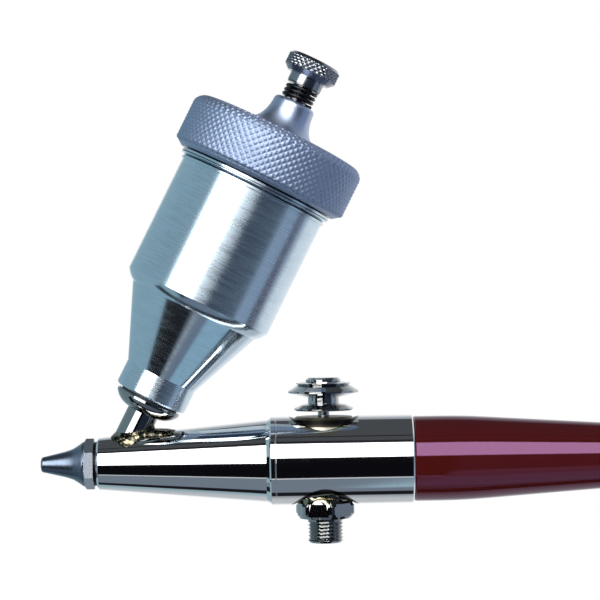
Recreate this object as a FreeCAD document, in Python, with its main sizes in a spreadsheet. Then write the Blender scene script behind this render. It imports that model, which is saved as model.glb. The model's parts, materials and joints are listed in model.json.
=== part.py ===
"""Gravity-fed airbrush gun with a tilted cup, modelled piece by piece in millimetres.

+X runs along the barrel towards the handle, +Z is up and the nose points to -X.
The origin is the centre of the air inlet's lower end; the barrel's axis lies `inlet_drop` above it.
Every size is a cell of the sheet, and each piece is bound to the cells by expressions.
"""
import FreeCAD, Part
import math
import os

import Sketcher
from FreeCAD import Placement, Rotation, Vector

# ---------------------------------------------------------------------------------------------
# Driving sizes
# ---------------------------------------------------------------------------------------------

SIZES = {
    # barrel, measured from the axis of trigger and valve
    "inlet_drop": 14.8,            # barrel axis above the inlet's lower end
    "barrel_diameter": 15.875,
    "barrel_front": 9.8,
    "barrel_back": 16.0,
    "barrel_edge": 0.25,           # chamfer at both ends
    "spigot_diameter": 11.0,
    "spigot_length": 4.0,
    "spigot_groove_diameter": 9.2,
    "spigot_groove_start": 1.2,    # behind the spigot's end
    "spigot_groove_width": 1.0,
    "air_bore_diameter": 2.0,
    "tube_pocket_depth": 1.0,      # how far the air tube's pocket reaches into the barrel
    "stem_clearance": 0.4,         # radial, round the stem below its bush
    "well_diameter": 11.2,         # recess under the trigger
    "well_floor": 5.0,             # height above the barrel axis
    "well_bevel": 0.7,
    "spot_face_depth": 1.05,       # flat for the valve hex, below the barrel
    "spot_face_diameter": 11.6,
    # clearances
    "thread_gap": 0.03,            # radial, between screwed or pressed pieces
    "running_gap": 0.06,           # radial, between a moving piece and its guide
    "seat_gap": 0.2,               # between a moving cone and its seat
    "end_gap": 0.2,                # axial, behind a piece that stops short of its socket
    "drill_gap": 0.1,              # axial, beyond the end of a screwed or pressed piece
    # broken edges
    "small_edge": 0.3,             # on small turned pieces
    "fine_edge": 0.2,              # on the thinnest rims
    "thread_lead": 0.4,            # where a thread starts
    # nose
    "nose_length": 31.1,
    "nose_front_diameter": 9.3,
    "nose_back_diameter": 14.76,
    "nose_step": 0.6,              # width of the shoulder where the cone meets the barrel
    "nose_edge": 0.35,
    "mixing_diameter": 3.4,
    "mixing_back": 19.0,           # where the mixing bore ends, behind the nose's front face
    "nose_thread_depth": 3.4,
    "packing_length": 4.2,
    "packing_diameter": 6.0,
    # nozzle, from its hex face forwards
    "washer_thickness": 0.6,
    "washer_diameter": 7.9,
    "nozzle_hex": 7.94,
    "nozzle_hex_length": 1.7,
    "nozzle_thread_diameter": 6.4,
    "nozzle_tail": 3.0,
    "nozzle_length": 9.6,
    "hex_corner_cut": 0.5,         # radial, where the hex's front corners are turned off
    "nozzle_round_length": 0.35,   # three turned steps in front of the hex: how far ahead of it
    "nozzle_round_drop": 0.62,     # and how far below its corners
    "nozzle_cone_length": 0.9,
    "nozzle_cone_drop": 1.05,
    "nozzle_flare_start": 2.0,
    "nozzle_flare_start_drop": 1.75,
    "nozzle_flare_end": 3.8,
    "nozzle_flare_end_drop": 2.34,
    "nozzle_flare_radius": 12.0,   # the hollow curve between them
    "nozzle_lip_rise": 0.17,
    "nozzle_lip_bend": 0.7,
    "nozzle_mouth_length": 0.6,
    "nozzle_mouth_edge": 0.4,
    "nozzle_hollow_taper": 1.6,
    "nozzle_tip_diameter": 2.52,
    "nozzle_bore_diameter": 4.4,
    "insert_diameter": 1.4,
    "insert_bore": 0.7,
    "insert_length": 3.6,
    "insert_funnel": 0.5,
    # air tube and jet
    "air_tube_diameter": 1.8,
    "air_tube_bore": 1.1,
    "jet_diameter": 3.0,
    "jet_tip_diameter": 1.1,
    "jet_length": 3.4,
    "jet_cone_length": 1.4,
    "jet_hole": 0.6,
    "jet_grip": 1.6,               # how far the tube reaches into the jet
    "tube_end_depth": 1.2,         # how far the tube stops inside the barrel's front face
    "jet_gap": 1.0,                # jet tip behind the insert
    # cup axis: a point on it, seen from the trigger axis, and its lean towards the handle
    "cup_forward": 31.3,
    "cup_rise": 11.62,
    "cup_tilt": 27.2,
    # neck, along the cup axis
    "neck_tube_diameter": 5.8,
    "neck_bore_diameter": 3.8,
    "neck_depth": 9.6,
    "collar_diameter": 12.2,
    "collar_bowl": 2.0,            # height of the bowl below its rim
    "collar_rim": 0.6,
    "collar_bend": 4.0,            # radius of the bowl's side
    "gasket_thickness": 0.4,
    "gasket_diameter": 10.8,
    "outlet_thread_diameter": 5.1,
    "outlet_thread_length": 3.0,
    "outlet_bore": 2.0,
    "outlet_head_diameter": 7.6,
    "outlet_head_height": 1.0,
    "gasket_gap": 0.05,            # radial, inside a flat gasket or washer
    "braze_bead": 1.3,             # width of the fillet behind the tube
    "braze_bead_shift": 0.9,       # the fillet sits behind the tube's centre
    "braze_bead_below": 2.0,       # the fillet starts this far inside the cone
    "braze_bead_above": 3.6,
    "braze_tail_overlap": 0.6,
    "braze_tail_length": 10.6,
    "braze_tail_width": 6.0,
    "braze_tail_height": 1.3,
    # cup
    "cup_wall": 1.1,
    "cup_floor": 1.6,
    "cup_inner_rise": 0.4,         # how far the inside lags behind the outside at each change of shape
    "foot_diameter": 13.38,
    "foot_height": 4.5,
    "shoulder_step": 1.62,         # how far the shoulder widens the cone's top
    "cone_top": 17.7,              # above the cup's underside
    "shoulder_height": 1.85,
    "shoulder_bend": 5.0,
    "cup_diameter": 27.7,
    "cup_rim": 42.4,               # where the thicker threaded rim starts
    "rim_step": 0.75,              # how far the threaded rim stands out
    "cup_height": 48.8,
    # lid
    "lid_wall": 2.05,              # from the rim's threads to the outside of the knurl
    "lid_height": 9.8,
    "lid_edge": 1.5,
    "lid_edge_bend": 2.25,
    "lid_chamfer_rise": 1.05,
    "lid_skirt": 5.4,              # how far the skirt reaches below the cup's rim
    "lid_gasket_thickness": 0.8,
    "lid_gasket_width": 1.6,
    "hub_base_diameter": 13.6,
    "hub_waist_diameter": 9.8,
    "hub_waist_height": 2.5,
    "hub_top_diameter": 7.8,
    "hub_height": 6.1,
    "hub_flare": 2.6,              # radius of the concave flare
    "hub_foot": 0.25,              # straight rim under the flare
    "hub_crown_edge": 0.7,
    "hub_crown_bend": 0.8,
    "hub_groove_start": 1.2,       # groove of the rod's seal, above the hub's lower end
    "hub_thread_diameter": 6.0,
    "hub_nut_hex": 10.0,
    "hub_nut_height": 2.4,
    "hub_nut_stand": 0.4,          # thread that shows below the nut
    # metering rod, spring and knob
    "rod_diameter": 2.6,
    "rod_shoulder_diameter": 3.8,
    "rod_shoulder_start": 0.3,     # above the hub
    "rod_tip_length": 0.8,
    "rod_thread_grip": 3.7,        # how deep the rod reaches into the knob
    "spring_length": 3.0,
    "spring_diameter": 5.4,        # mean coil diameter
    "spring_wire": 0.6,
    "spring_turns": 2.0,
    "spring_washer_thickness": 0.3,
    "spring_washer_diameter": 6.2,
    "knob_diameter": 9.92,
    "knob_height": 5.0,
    "knob_neck_diameter": 6.4,
    "knob_neck_height": 1.6,
    "knob_undercut": 0.9,
    "knob_lip": 0.8,
    "knob_edge": 0.5,
    "seal_wire": 0.8,              # section of the small O-rings
    # trigger, heights above the barrel axis
    "trigger_underside": 9.0,
    "foot_disc_diameter": 10.7,
    "foot_disc_edge": 0.4,
    "foot_disc_rise": 0.9,
    "button_neck_diameter": 5.6,
    "button_neck_height": 1.0,
    "button_diameter": 12.7,
    "button_rim_edge": 0.35,
    "button_under_rise": 0.9,
    "button_step_diameter": 9.84,
    "button_step_height": 1.4,
    "button_step_edge": 0.15,
    "button_step_waist": 0.35,     # the flank under the step's edge lies this far in
    "button_waist_diameter": 5.2,  # neck between step and cap
    "button_waist_height": 0.35,
    "button_cap_diameter": 6.32,
    "button_cap_height": 0.6,
    "button_cap_edge": 0.5,
    "button_dome": 0.35,
    "button_flare": 1.3,           # half-way width of the curved flanks under the rim
    "button_flare_height": 0.3,
    "stem_diameter": 2.1,
    "stem_grip": 4.0,
    "stem_end": 0.9,               # how far the stem's end lies above the valve's shank
    "bush_diameter": 4.5,
    "bush_length": 3.0,
    "bush_head_diameter": 10.9,    # the bush's head fills the well, flush with the barrel
    "bush_head_edge": 0.4,
    "bush_head_sink": 0.05,        # how far it stays under the barrel's top
    # air valve, depths below the barrel axis
    "valve_hex": 9.525,
    "valve_hex_height": 3.8,
    "valve_hex_corner": 10.7,      # diameter that the hex's corners are turned down to
    "valve_turn": 45.0,            # how far the hex is turned from the barrel's axis
    "inlet_diameter": 6.35,
    "valve_shank_diameter": 8.0,
    "valve_shank_top": 2.9,
    "valve_hex_cut": 0.75,         # radial depth of the steep part of the rounded ends
    "valve_hex_edge": 1.2,         # height of the rounded ends at the hex's corners
    "valve_hex_slope": 0.3,        # height of the flatter part of those ends
    "valve_hex_seat": 0.4,         # ring round the shank that seats on the barrel
    "valve_seat_thickness": 1.2,
    "valve_gasket_inset": 0.6,     # inside edge of the gasket, out from the hole
    "valve_gasket_thickness": 0.5,
    "valve_chamber_diameter": 4.4,
    "valve_hole_diameter": 2.4,
    "plunger_pin_diameter": 1.5,
    "plunger_head_diameter": 3.8,
    "plunger_head_height": 1.2,
    "plunger_tail": 1.2,
    "stem_to_pin": 0.1,
    "seal_rest": 0.05,             # the closed seal stands this far off its seat
    "retainer_height": 1.5,
    "retainer_hole": 2.2,
    "retainer_depth": 0.4,         # above the inlet's lower end
    "valve_spring_diameter": 2.9,
    "valve_spring_wire": 0.45,
    "valve_spring_turns": 5.0,
    # handle
    "handle_diameter": 15.3,
    "handle_shoulder": 5.0,        # straight length before the taper
    "handle_bend": 8.0,            # length of the curve that leads into the taper
    "handle_taper": 4.0,           # degrees
    "handle_length": 85.0,
    "handle_tip_diameter": 5.4,
    "handle_bore": 6.4,
    "handle_bore_depth": 44.0,
    "handle_socket": 8.0,
    "handle_screw_diameter": 10.2,
    "handle_screw_length": 7.0,
    "handle_screw_bore": 4.0,
}


class Size:
    """A number together with the sheet formula that gives it."""

    def __init__(self, number, formula):
        self.number = number
        self.formula = formula

    @staticmethod
    def of(value):
        return value if isinstance(value, Size) else Size(float(value), repr(float(value)))

    def joined(self, other, sign, number):
        return Size(number, "(%s %s %s)" % (self.formula, sign, other.formula))

    def __add__(self, other):
        other = Size.of(other)
        return self.joined(other, "+", self.number + other.number)

    def __sub__(self, other):
        other = Size.of(other)
        return self.joined(other, "-", self.number - other.number)

    def __mul__(self, other):
        other = Size.of(other)
        return self.joined(other, "*", self.number * other.number)

    def __truediv__(self, other):
        other = Size.of(other)
        return self.joined(other, "/", self.number / other.number)

    def __radd__(self, other):
        return Size.of(other) + self

    def __rsub__(self, other):
        return Size.of(other) - self

    def __rmul__(self, other):
        return Size.of(other) * self

    def __neg__(self):
        return Size.of(0) - self


def sine(angle):
    """The sine of an angle in degrees, as a number and as a sheet formula."""
    return Size(math.sin(math.radians(angle.number)), "sin(%s)" % angle.formula)


def cosine(angle):
    return Size(math.cos(math.radians(angle.number)), "cos(%s)" % angle.formula)


document = FreeCAD.newDocument("airbrush_gun")
sheet = document.addObject("Spreadsheet::Sheet", "Sizes")
for row, (name, value) in enumerate(SIZES.items(), start=1):
    sheet.set("A%d" % row, name)
    sheet.set("B%d" % row, repr(value))
    sheet.setAlias("B%d" % row, name)
document.recompute()


def size(name):
    """The sheet's cell of that name."""
    return Size(float(sheet.get(name)), "Sizes." + name)


def radius(name):
    return size(name) / 2


ZERO = Size.of(0)

# ---------------------------------------------------------------------------------------------
# Helpers: places, outlines, turned bodies and cuts
# ---------------------------------------------------------------------------------------------


class Place:
    """Where a piece's own origin lies, and how far it leans about Y or turns about Z."""

    def __init__(self, x=ZERO, z=ZERO, angle=ZERO, about=(0, 1, 0)):
        self.x = Size.of(x)
        self.z = Size.of(z)
        self.angle = Size.of(angle)
        self.about = Vector(*about)

    def raised(self, along):
        """The same place moved by `along` on its own Z axis."""
        if self.about.z:
            return Place(self.x, self.z + along, self.angle, self.about)
        ahead = along * sine(self.angle)
        up = along * cosine(self.angle)
        return Place(self.x + ahead, self.z + up, self.angle)

    def put(self, piece):
        turn = Rotation(self.about, self.angle.number)
        piece.Placement = Placement(Vector(self.x.number, 0, self.z.number), turn)
        piece.setExpression("Placement.Base.x", self.x.formula)
        piece.setExpression("Placement.Base.z", self.z.formula)
        if self.angle.number:
            piece.setExpression("Placement.Rotation.Angle", self.angle.formula)


ON_BARREL = Place(z=size("inlet_drop"))
ON_CUP = Place(-size("cup_forward"), size("inlet_drop") + size("cup_rise"), size("cup_tilt"))
ON_VALVE = Place(z=size("inlet_drop"), angle=size("valve_turn"), about=(0, 0, 1))


def plane(body, role):
    """One of the body's own origin planes or axes."""
    return [part for part in body.Origin.OriginFeatures if part.Role == role][0]


def arc_between(start, end, bend):
    """The short arc from start to end; a positive bend has its centre on the left of the way."""
    chord = end - start
    middle = (start + end) * 0.5
    left = Vector(-chord.y, chord.x, 0).normalize()
    rise = math.sqrt(max(bend * bend - chord.Length ** 2 / 4, 0))
    centre = middle + left * math.copysign(rise, bend)
    circle = Part.Circle(centre, Vector(0, 0, 1), abs(bend))
    first, last = (start, end) if bend > 0 else (end, start)
    return Part.ArcOfCircle(circle, circle.parameter(first), circle.parameter(last))


def outline(body, role, name, corners):
    """A closed sketch through corners (x, y) or (x, y, bend), every one bound to the sheet.

    A corner with a bend starts an arc of that radius; all the other runs are straight.
    """
    sketch = body.newObject("Sketcher::SketchObject", name)
    sketch.AttachmentSupport = [(plane(body, role), "")]
    sketch.MapMode = "FlatFace"
    corners = [tuple(Size.of(value) for value in corner) for corner in corners]
    points = [Vector(corner[0].number, corner[1].number, 0) for corner in corners]
    runs = []
    first_end = []
    for index, corner in enumerate(corners):
        start, end = points[index], points[(index + 1) % len(points)]
        if len(corner) == 3:
            runs.append(arc_between(start, end, corner[2].number))
            first_end.append(1 if corner[2].number > 0 else 2)
        else:
            runs.append(Part.LineSegment(start, end))
            first_end.append(1)
    sketch.addGeometry(runs, False)
    rules = []
    formulas = []
    for index, corner in enumerate(corners):
        after = (index + 1) % len(corners)
        last_end = 3 - first_end[index]
        rules.append(Sketcher.Constraint("Coincident", index, last_end, after, first_end[after]))
        formulas.append(None)
        for kind, value in zip(("DistanceX", "DistanceY"), corner):
            rules.append(Sketcher.Constraint(kind, index, first_end[index], value.number))
            formulas.append(value.formula)
        if len(corner) == 3:
            rules.append(Sketcher.Constraint("Radius", index, abs(corner[2].number)))
            formulas.append(corner[2].formula if corner[2].number > 0 else (-corner[2]).formula)
    sketch.addConstraint(rules)
    for index, formula in enumerate(formulas):
        if formula and "Sizes." in formula:
            sketch.setExpression("Constraints[%d]" % index, formula)
    return sketch


def turned(label, axis, corners, place):
    """A lathe-turned body: an outline in the XZ plane turned about its H_Axis or V_Axis."""
    body = document.addObject("PartDesign::Body", label)
    body.Label = label
    profile = outline(body, "XZ_Plane", label + "_outline", corners)
    turning = body.newObject("PartDesign::Revolution", label + "_turning")
    turning.Profile = profile
    turning.ReferenceAxis = (profile, [axis])
    turning.Angle = 360
    body.Tip = turning
    place.put(body)
    document.recompute()
    return body


def check_cut(body, name, before):
    """Stop when a cut took nothing away, because such a cut shows no error of its own."""
    document.recompute()
    if body.Shape.Volume > before - 1e-6:
        raise RuntimeError(name + " removed nothing from " + body.Label)


def turned_cut(body, name, axis, corners, at_x=ZERO, at_z=ZERO, lean=ZERO):
    """A bored recess: an outline turned about a line that may be shifted and leaned in the XZ plane."""
    before = body.Shape.Volume
    profile = outline(body, "XZ_Plane", name + "_outline", corners)
    turn = Rotation(Vector(0, 0, 1), -lean.number)
    profile.AttachmentOffset = Placement(Vector(at_x.number, at_z.number, 0), turn)
    profile.setExpression("AttachmentOffset.Base.x", at_x.formula)
    profile.setExpression("AttachmentOffset.Base.y", at_z.formula)
    if lean.number:
        profile.setExpression("AttachmentOffset.Rotation.Angle", (-lean).formula)
    groove = body.newObject("PartDesign::Groove", name)
    groove.Profile = profile
    groove.ReferenceAxis = (profile, [axis])
    groove.Angle = 360
    body.Tip = groove
    check_cut(body, name, before)


def hex_flats(body, name, role, axis_role, across, start, length, beyond, sideways=False):
    """Mill six flats: one pocket outside the flat, then a polar pattern about the body's axis."""
    before = body.Shape.Volume
    flat = across / 2
    half = beyond / 2
    corners = [(-half, flat), (half, flat), (half, beyond), (-half, beyond)]
    if sideways:
        corners = [(y, x) for x, y in corners]
    profile = outline(body, role, name + "_outline", corners)
    profile.AttachmentOffset = Placement(Vector(0, 0, (start + length).number), Rotation())
    profile.setExpression("AttachmentOffset.Base.z", (start + length).formula)
    pocket = body.newObject("PartDesign::Pocket", name)
    pocket.Profile = profile
    pocket.Length = length.number
    pocket.setExpression("Length", length.formula)
    document.recompute()
    body.Tip = pocket
    check_cut(body, name, before)
    pattern = body.newObject("PartDesign::PolarPattern", name + "_six")
    pattern.Originals = [pocket]
    pattern.Axis = (plane(body, axis_role), [""])
    pattern.Angle = 360
    pattern.Occurrences = 6
    body.Tip = pattern
    check_cut(body, name + "_six", before)


def ring(label, at, inner, outer, height, place):
    """A flat ring about the piece's Z axis, from `at` upwards."""
    corners = [(inner, at), (outer, at), (outer, at + height), (inner, at + height)]
    return turned(label, "V_Axis", corners, place)


def o_ring(label, along, shaft_diameter, place):
    """An O-ring round a shaft that runs along the place's Z axis, centred `along` above its origin."""
    torus = document.addObject("Part::Torus", label)
    torus.Label = label
    wire = radius("seal_wire")
    middle = shaft_diameter / 2 + size("running_gap") + wire
    torus.setExpression("Radius1", middle.formula)
    torus.setExpression("Radius2", wire.formula)
    place.raised(along).put(torus)
    document.recompute()
    return torus


def coil_spring(label, bottom, length, diameter, wire, turns, place):
    """A round-wire helix that lies between `bottom` and `bottom + length` on the place's Z axis."""
    rise = length - wire
    body = document.addObject("PartDesign::Body", label)
    body.Label = label
    section = body.newObject("Sketcher::SketchObject", label + "_section")
    section.AttachmentSupport = [(plane(body, "XZ_Plane"), "")]
    section.MapMode = "FlatFace"
    centre = Vector(diameter.number / 2, wire.number / 2, 0)
    section.addGeometry(Part.Circle(centre, Vector(0, 0, 1), wire.number / 2), False)
    bound = (("DistanceX", diameter / 2), ("DistanceY", wire / 2), ("Radius", wire / 2))
    for index, (kind, value) in enumerate(bound):
        where = (0,) if kind == "Radius" else (0, 3)
        section.addConstraint(Sketcher.Constraint(kind, *where, value.number))
        section.setExpression("Constraints[%d]" % index, value.formula)
    coil = body.newObject("PartDesign::AdditiveHelix", label + "_coil")
    coil.Profile = section
    coil.ReferenceAxis = (section, ["V_Axis"])
    coil.Mode = 0
    coil.setExpression("Pitch", (rise / turns).formula)
    coil.setExpression("Height", rise.formula)
    body.Tip = coil
    place.raised(bottom).put(body)
    document.recompute()
    return body


# ---------------------------------------------------------------------------------------------
# Shared places worked out from the driving sizes
# ---------------------------------------------------------------------------------------------

barrel_radius = radius("barrel_diameter")
nose_back = -size("barrel_front")
nose_front = nose_back - size("nose_length")
nozzle_face = nose_front - size("washer_thickness")
nose_slope = (radius("nose_back_diameter") - radius("nose_front_diameter")) / (
    size("nose_length") - size("nose_step")
)
bore_radius = radius("air_bore_diameter")
rim_radius = radius("cup_diameter") + size("rim_step")
loose = size("thread_gap")
running = size("running_gap")
end_gap = size("end_gap")
drill_gap = size("drill_gap")
small_edge = size("small_edge")
fine_edge = size("fine_edge")
groove_start = nose_back - size("spigot_length") + size("spigot_groove_start")
groove_end = groove_start + size("spigot_groove_width")
BEYOND = 1.0  # how far a cut reaches past the metal

# ---------------------------------------------------------------------------------------------
# Barrel group
# ---------------------------------------------------------------------------------------------


def build_barrel():
    """Turned bar with a spigot for the nose, the trigger well, the valve seat and the handle thread."""
    edge = size("barrel_edge")
    spigot = radius("spigot_diameter")
    spigot_end = nose_back - size("spigot_length")
    groove = radius("spigot_groove_diameter")
    tube_pocket = radius("air_tube_diameter") + loose
    pocket_end = nose_back - size("tube_pocket_depth")
    screw = radius("handle_screw_diameter") + loose
    back = size("barrel_back")
    screw_end = back - size("handle_screw_length") - size("thread_lead") - drill_gap
    body = turned("barrel", "H_Axis", [
        (spigot_end, tube_pocket),
        (spigot_end, spigot),
        (groove_start, spigot),
        (groove_start, groove),
        (groove_end, groove),
        (groove_end, spigot),
        (nose_back, spigot),
        (nose_back, barrel_radius - edge),
        (nose_back + edge, barrel_radius),
        (back - edge, barrel_radius),
        (back, barrel_radius - edge),
        (back, screw),
        (screw_end, screw),
        (screw_end, ZERO),
        (ZERO, ZERO),
        (ZERO, bore_radius),
        (pocket_end, bore_radius),
        (pocket_end, tube_pocket),
    ], ON_BARREL)

    floor = size("well_floor")
    well = radius("well_diameter")
    bush = radius("bush_diameter") + loose
    bush_bottom = floor - size("bush_length") - size("seal_wire") - drill_gap
    stem_way = radius("stem_diameter") + size("stem_clearance")
    air_gallery = -size("valve_shank_top") + size("valve_gasket_thickness")
    bevel = size("well_bevel")
    top = barrel_radius + BEYOND
    turned_cut(body, "trigger_well", "V_Axis", [
        (ZERO, air_gallery),
        (stem_way, air_gallery),
        (stem_way, bush_bottom),
        (bush, bush_bottom),
        (bush, floor),
        (well, floor),
        (well, barrel_radius - bevel),
        (well + bevel, barrel_radius),
        (well + bevel, top),
        (ZERO, top),
    ])

    shank = radius("valve_shank_diameter") + loose
    seat = size("spot_face_depth") - barrel_radius
    turned_cut(body, "valve_hole", "V_Axis", [
        (ZERO, -top),
        (radius("spot_face_diameter"), -top),
        (radius("spot_face_diameter"), seat),
        (shank, seat),
        (shank, air_gallery),
        (ZERO, air_gallery),
    ])


def build_handle_group():
    """Hollow tapered handle, and the screwed spigot that joins it to the barrel."""
    front = size("barrel_back")
    straight = front + size("handle_shoulder")
    bend = size("handle_bend")
    taper = size("handle_taper")
    bend_radius = bend / sine(taper)
    bend_end = straight + bend
    bend_drop = bend_radius * (1 - cosine(taper))
    start = radius("handle_diameter")
    end = front + size("handle_length")
    tip = radius("handle_tip_diameter")
    after_bend = start - bend_drop
    tip_start = end - tip
    bore = radius("handle_bore")
    bore_end = front + size("handle_bore_depth")
    socket = radius("handle_screw_diameter") + loose
    socket_end = front + size("handle_socket")
    turned("handle", "H_Axis", [
        (front, socket),
        (front, start - small_edge),
        (front + small_edge, start),
        (straight, start, -bend_radius),
        (bend_end, after_bend),
        (tip_start, tip, -tip),
        (end, ZERO),
        (bore_end, ZERO),
        (bore_end - bore, bore),
        (socket_end, bore),
        (socket_end, socket),
    ], ON_BARREL)

    screw = radius("handle_screw_diameter")
    screw_bore = radius("handle_screw_bore")
    screw_start = front - size("handle_screw_length")
    screw_end = socket_end - end_gap
    lead = size("thread_lead")
    turned("handle_spigot", "H_Axis", [
        (screw_start, screw_bore),
        (screw_start, screw - lead),
        (screw_start + lead, screw),
        (screw_end, screw),
        (screw_end, screw_bore),
    ], ON_BARREL)


# ---------------------------------------------------------------------------------------------
# Nose group
# ---------------------------------------------------------------------------------------------


def build_nose_body():
    """Tapered nose with the mixing bore along its axis and the slanted socket for the neck."""
    edge = size("nose_edge")
    front_radius = radius("nose_front_diameter")
    back_radius = radius("nose_back_diameter")
    shoulder = nose_back - size("nose_step")
    socket = radius("spigot_diameter") + loose
    socket_end = nose_back - size("spigot_length") - end_gap
    packing = radius("packing_diameter") + loose
    packing_end = socket_end - size("packing_length")
    tube = radius("air_tube_diameter") + drill_gap
    mixing = radius("mixing_diameter")
    mixing_end = nose_front + size("mixing_back")
    thread = radius("nozzle_thread_diameter") + loose
    thread_end = nose_front + size("nose_thread_depth")
    body = turned("nose_body", "H_Axis", [
        (nose_front, thread),
        (nose_front, front_radius - edge),
        (nose_front + edge, front_radius + nose_slope * edge),
        (shoulder, back_radius),
        (nose_back, barrel_radius - size("barrel_edge")),
        (nose_back, socket),
        (socket_end, socket),
        (socket_end, packing),
        (packing_end, packing),
        (packing_end, tube),
        (mixing_end, tube),
        (mixing_end, mixing),
        (thread_end, mixing),
        (thread_end, thread),
    ], ON_BARREL)
    tube_socket = radius("neck_tube_diameter") + loose
    passage = radius("neck_bore_diameter")
    depth = -size("neck_depth")
    passage_end = -size("cup_rise") / cosine(size("cup_tilt"))
    turned_cut(body, "neck_socket", "V_Axis", [
        (ZERO, passage_end),
        (passage, passage_end),
        (passage, depth),
        (tube_socket, depth),
        (tube_socket, ZERO),
        (ZERO, ZERO),
    ], -size("cup_forward"), size("cup_rise"), size("cup_tilt"))


def build_nozzle_group():
    """Nozzle cap with its hex, hard insert and washer, screwed into the front of the nose."""
    face = nozzle_face
    tail = radius("nozzle_thread_diameter")
    hollow = radius("nozzle_bore_diameter")
    tip = radius("nozzle_tip_diameter")
    insert = radius("insert_diameter") + loose
    hex_length = size("nozzle_hex_length")
    corner = size("nozzle_hex") / cosine(Size.of(30)) / 2
    front = face - size("nozzle_length")
    insert_back = front + size("insert_length")
    tail_end = face + size("nozzle_tail")
    hex_front = face - hex_length
    mouth = front + size("nozzle_mouth_length")
    body = turned("nozzle_cap", "H_Axis", [
        (tail_end, hollow),
        (tail_end, tail - small_edge),
        (tail_end - small_edge, tail),
        (face, tail),
        (face, corner),
        (hex_front + small_edge, corner),
        (hex_front, corner - size("hex_corner_cut")),
        (hex_front - size("nozzle_round_length"), corner - size("nozzle_round_drop")),
        (hex_front - size("nozzle_cone_length"), corner - size("nozzle_cone_drop")),
        (hex_front - size("nozzle_flare_start"), corner - size("nozzle_flare_start_drop"),
         -size("nozzle_flare_radius")),
        (hex_front - size("nozzle_flare_end"), corner - size("nozzle_flare_end_drop")),
        (mouth, tip + size("nozzle_lip_rise"), -size("nozzle_lip_bend")),
        (front, tip - size("nozzle_mouth_edge")),
        (front, insert),
        (insert_back, insert),
        (insert_back + size("nozzle_hollow_taper"), hollow),
    ], ON_BARREL)
    hex_flats(body, "nozzle_hex", "YZ_Plane", "X_Axis", size("nozzle_hex"), hex_front, hex_length,
              corner + BEYOND, sideways=True)

    funnel = insert_back - size("insert_funnel")
    turned("nozzle_insert", "H_Axis", [
        (front + drill_gap, radius("insert_bore")),
        (front + drill_gap, radius("insert_diameter")),
        (insert_back, radius("insert_diameter")),
        (insert_back, radius("insert_diameter") - drill_gap),
        (funnel, radius("insert_bore")),
    ], ON_BARREL)

    washer_hole = tail + size("gasket_gap")
    turned("nozzle_washer", "H_Axis", [
        (nose_front, washer_hole),
        (nose_front, radius("washer_diameter")),
        (face, radius("washer_diameter")),
        (face, washer_hole),
    ], ON_BARREL)


def build_air_line():
    """Air tube from the barrel to the jet in the nozzle, with its packing nut and the nose O-ring."""
    front = nozzle_face - size("nozzle_length")
    jet_tip = front + size("insert_length") + size("jet_gap")
    jet_back = jet_tip + size("jet_length")
    tube = radius("air_tube_diameter")
    tube_bore = radius("air_tube_bore")
    tube_back = nose_back - size("tube_end_depth")
    grip = jet_back - size("jet_grip")
    hole = radius("jet_hole")
    turned("air_tube", "H_Axis", [
        (grip, tube_bore),
        (grip, tube),
        (tube_back, tube),
        (tube_back, tube_bore),
    ], ON_BARREL)

    turned("inner_jet", "H_Axis", [
        (jet_tip, hole),
        (jet_tip, radius("jet_tip_diameter")),
        (jet_tip + size("jet_cone_length"), radius("jet_diameter")),
        (jet_back, radius("jet_diameter")),
        (jet_back, tube + loose),
        (grip, tube + loose),
        (grip, hole),
    ], ON_BARREL)

    nut_back = nose_back - size("spigot_length") - end_gap
    nut_front = nut_back - size("packing_length")
    turned("jet_packing_nut", "H_Axis", [
        (nut_front, tube + loose),
        (nut_front, radius("packing_diameter")),
        (nut_back, radius("packing_diameter")),
        (nut_back, tube + loose),
    ], ON_BARREL)

    across = Place(z=size("inlet_drop"), angle=Size.of(90))
    o_ring("nose_seal", (groove_start + groove_end) / 2, size("spigot_groove_diameter"), across)


# ---------------------------------------------------------------------------------------------
# Cup group, all on the leaning cup axis
# ---------------------------------------------------------------------------------------------


def build_neck():
    """Bowl-shaped collar and slanted tube that carry the cup."""
    tube = radius("neck_tube_diameter")
    bore = radius("neck_bore_diameter")
    collar = radius("collar_diameter")
    rim_top = -size("gasket_thickness") / 2
    rim_low = rim_top - size("collar_rim")
    bowl_low = rim_low - size("collar_bowl")
    thread = radius("outlet_thread_diameter") + loose
    thread_end = rim_top - size("outlet_thread_length")
    turned("cup_neck", "V_Axis", [
        (bore, -size("neck_depth")),
        (tube, -size("neck_depth")),
        (tube, bowl_low, size("collar_bend")),
        (collar, rim_low),
        (collar, rim_top - fine_edge),
        (collar - fine_edge, rim_top),
        (thread, rim_top),
        (thread, thread_end),
        (bore, thread_end),
    ], ON_CUP)


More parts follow.
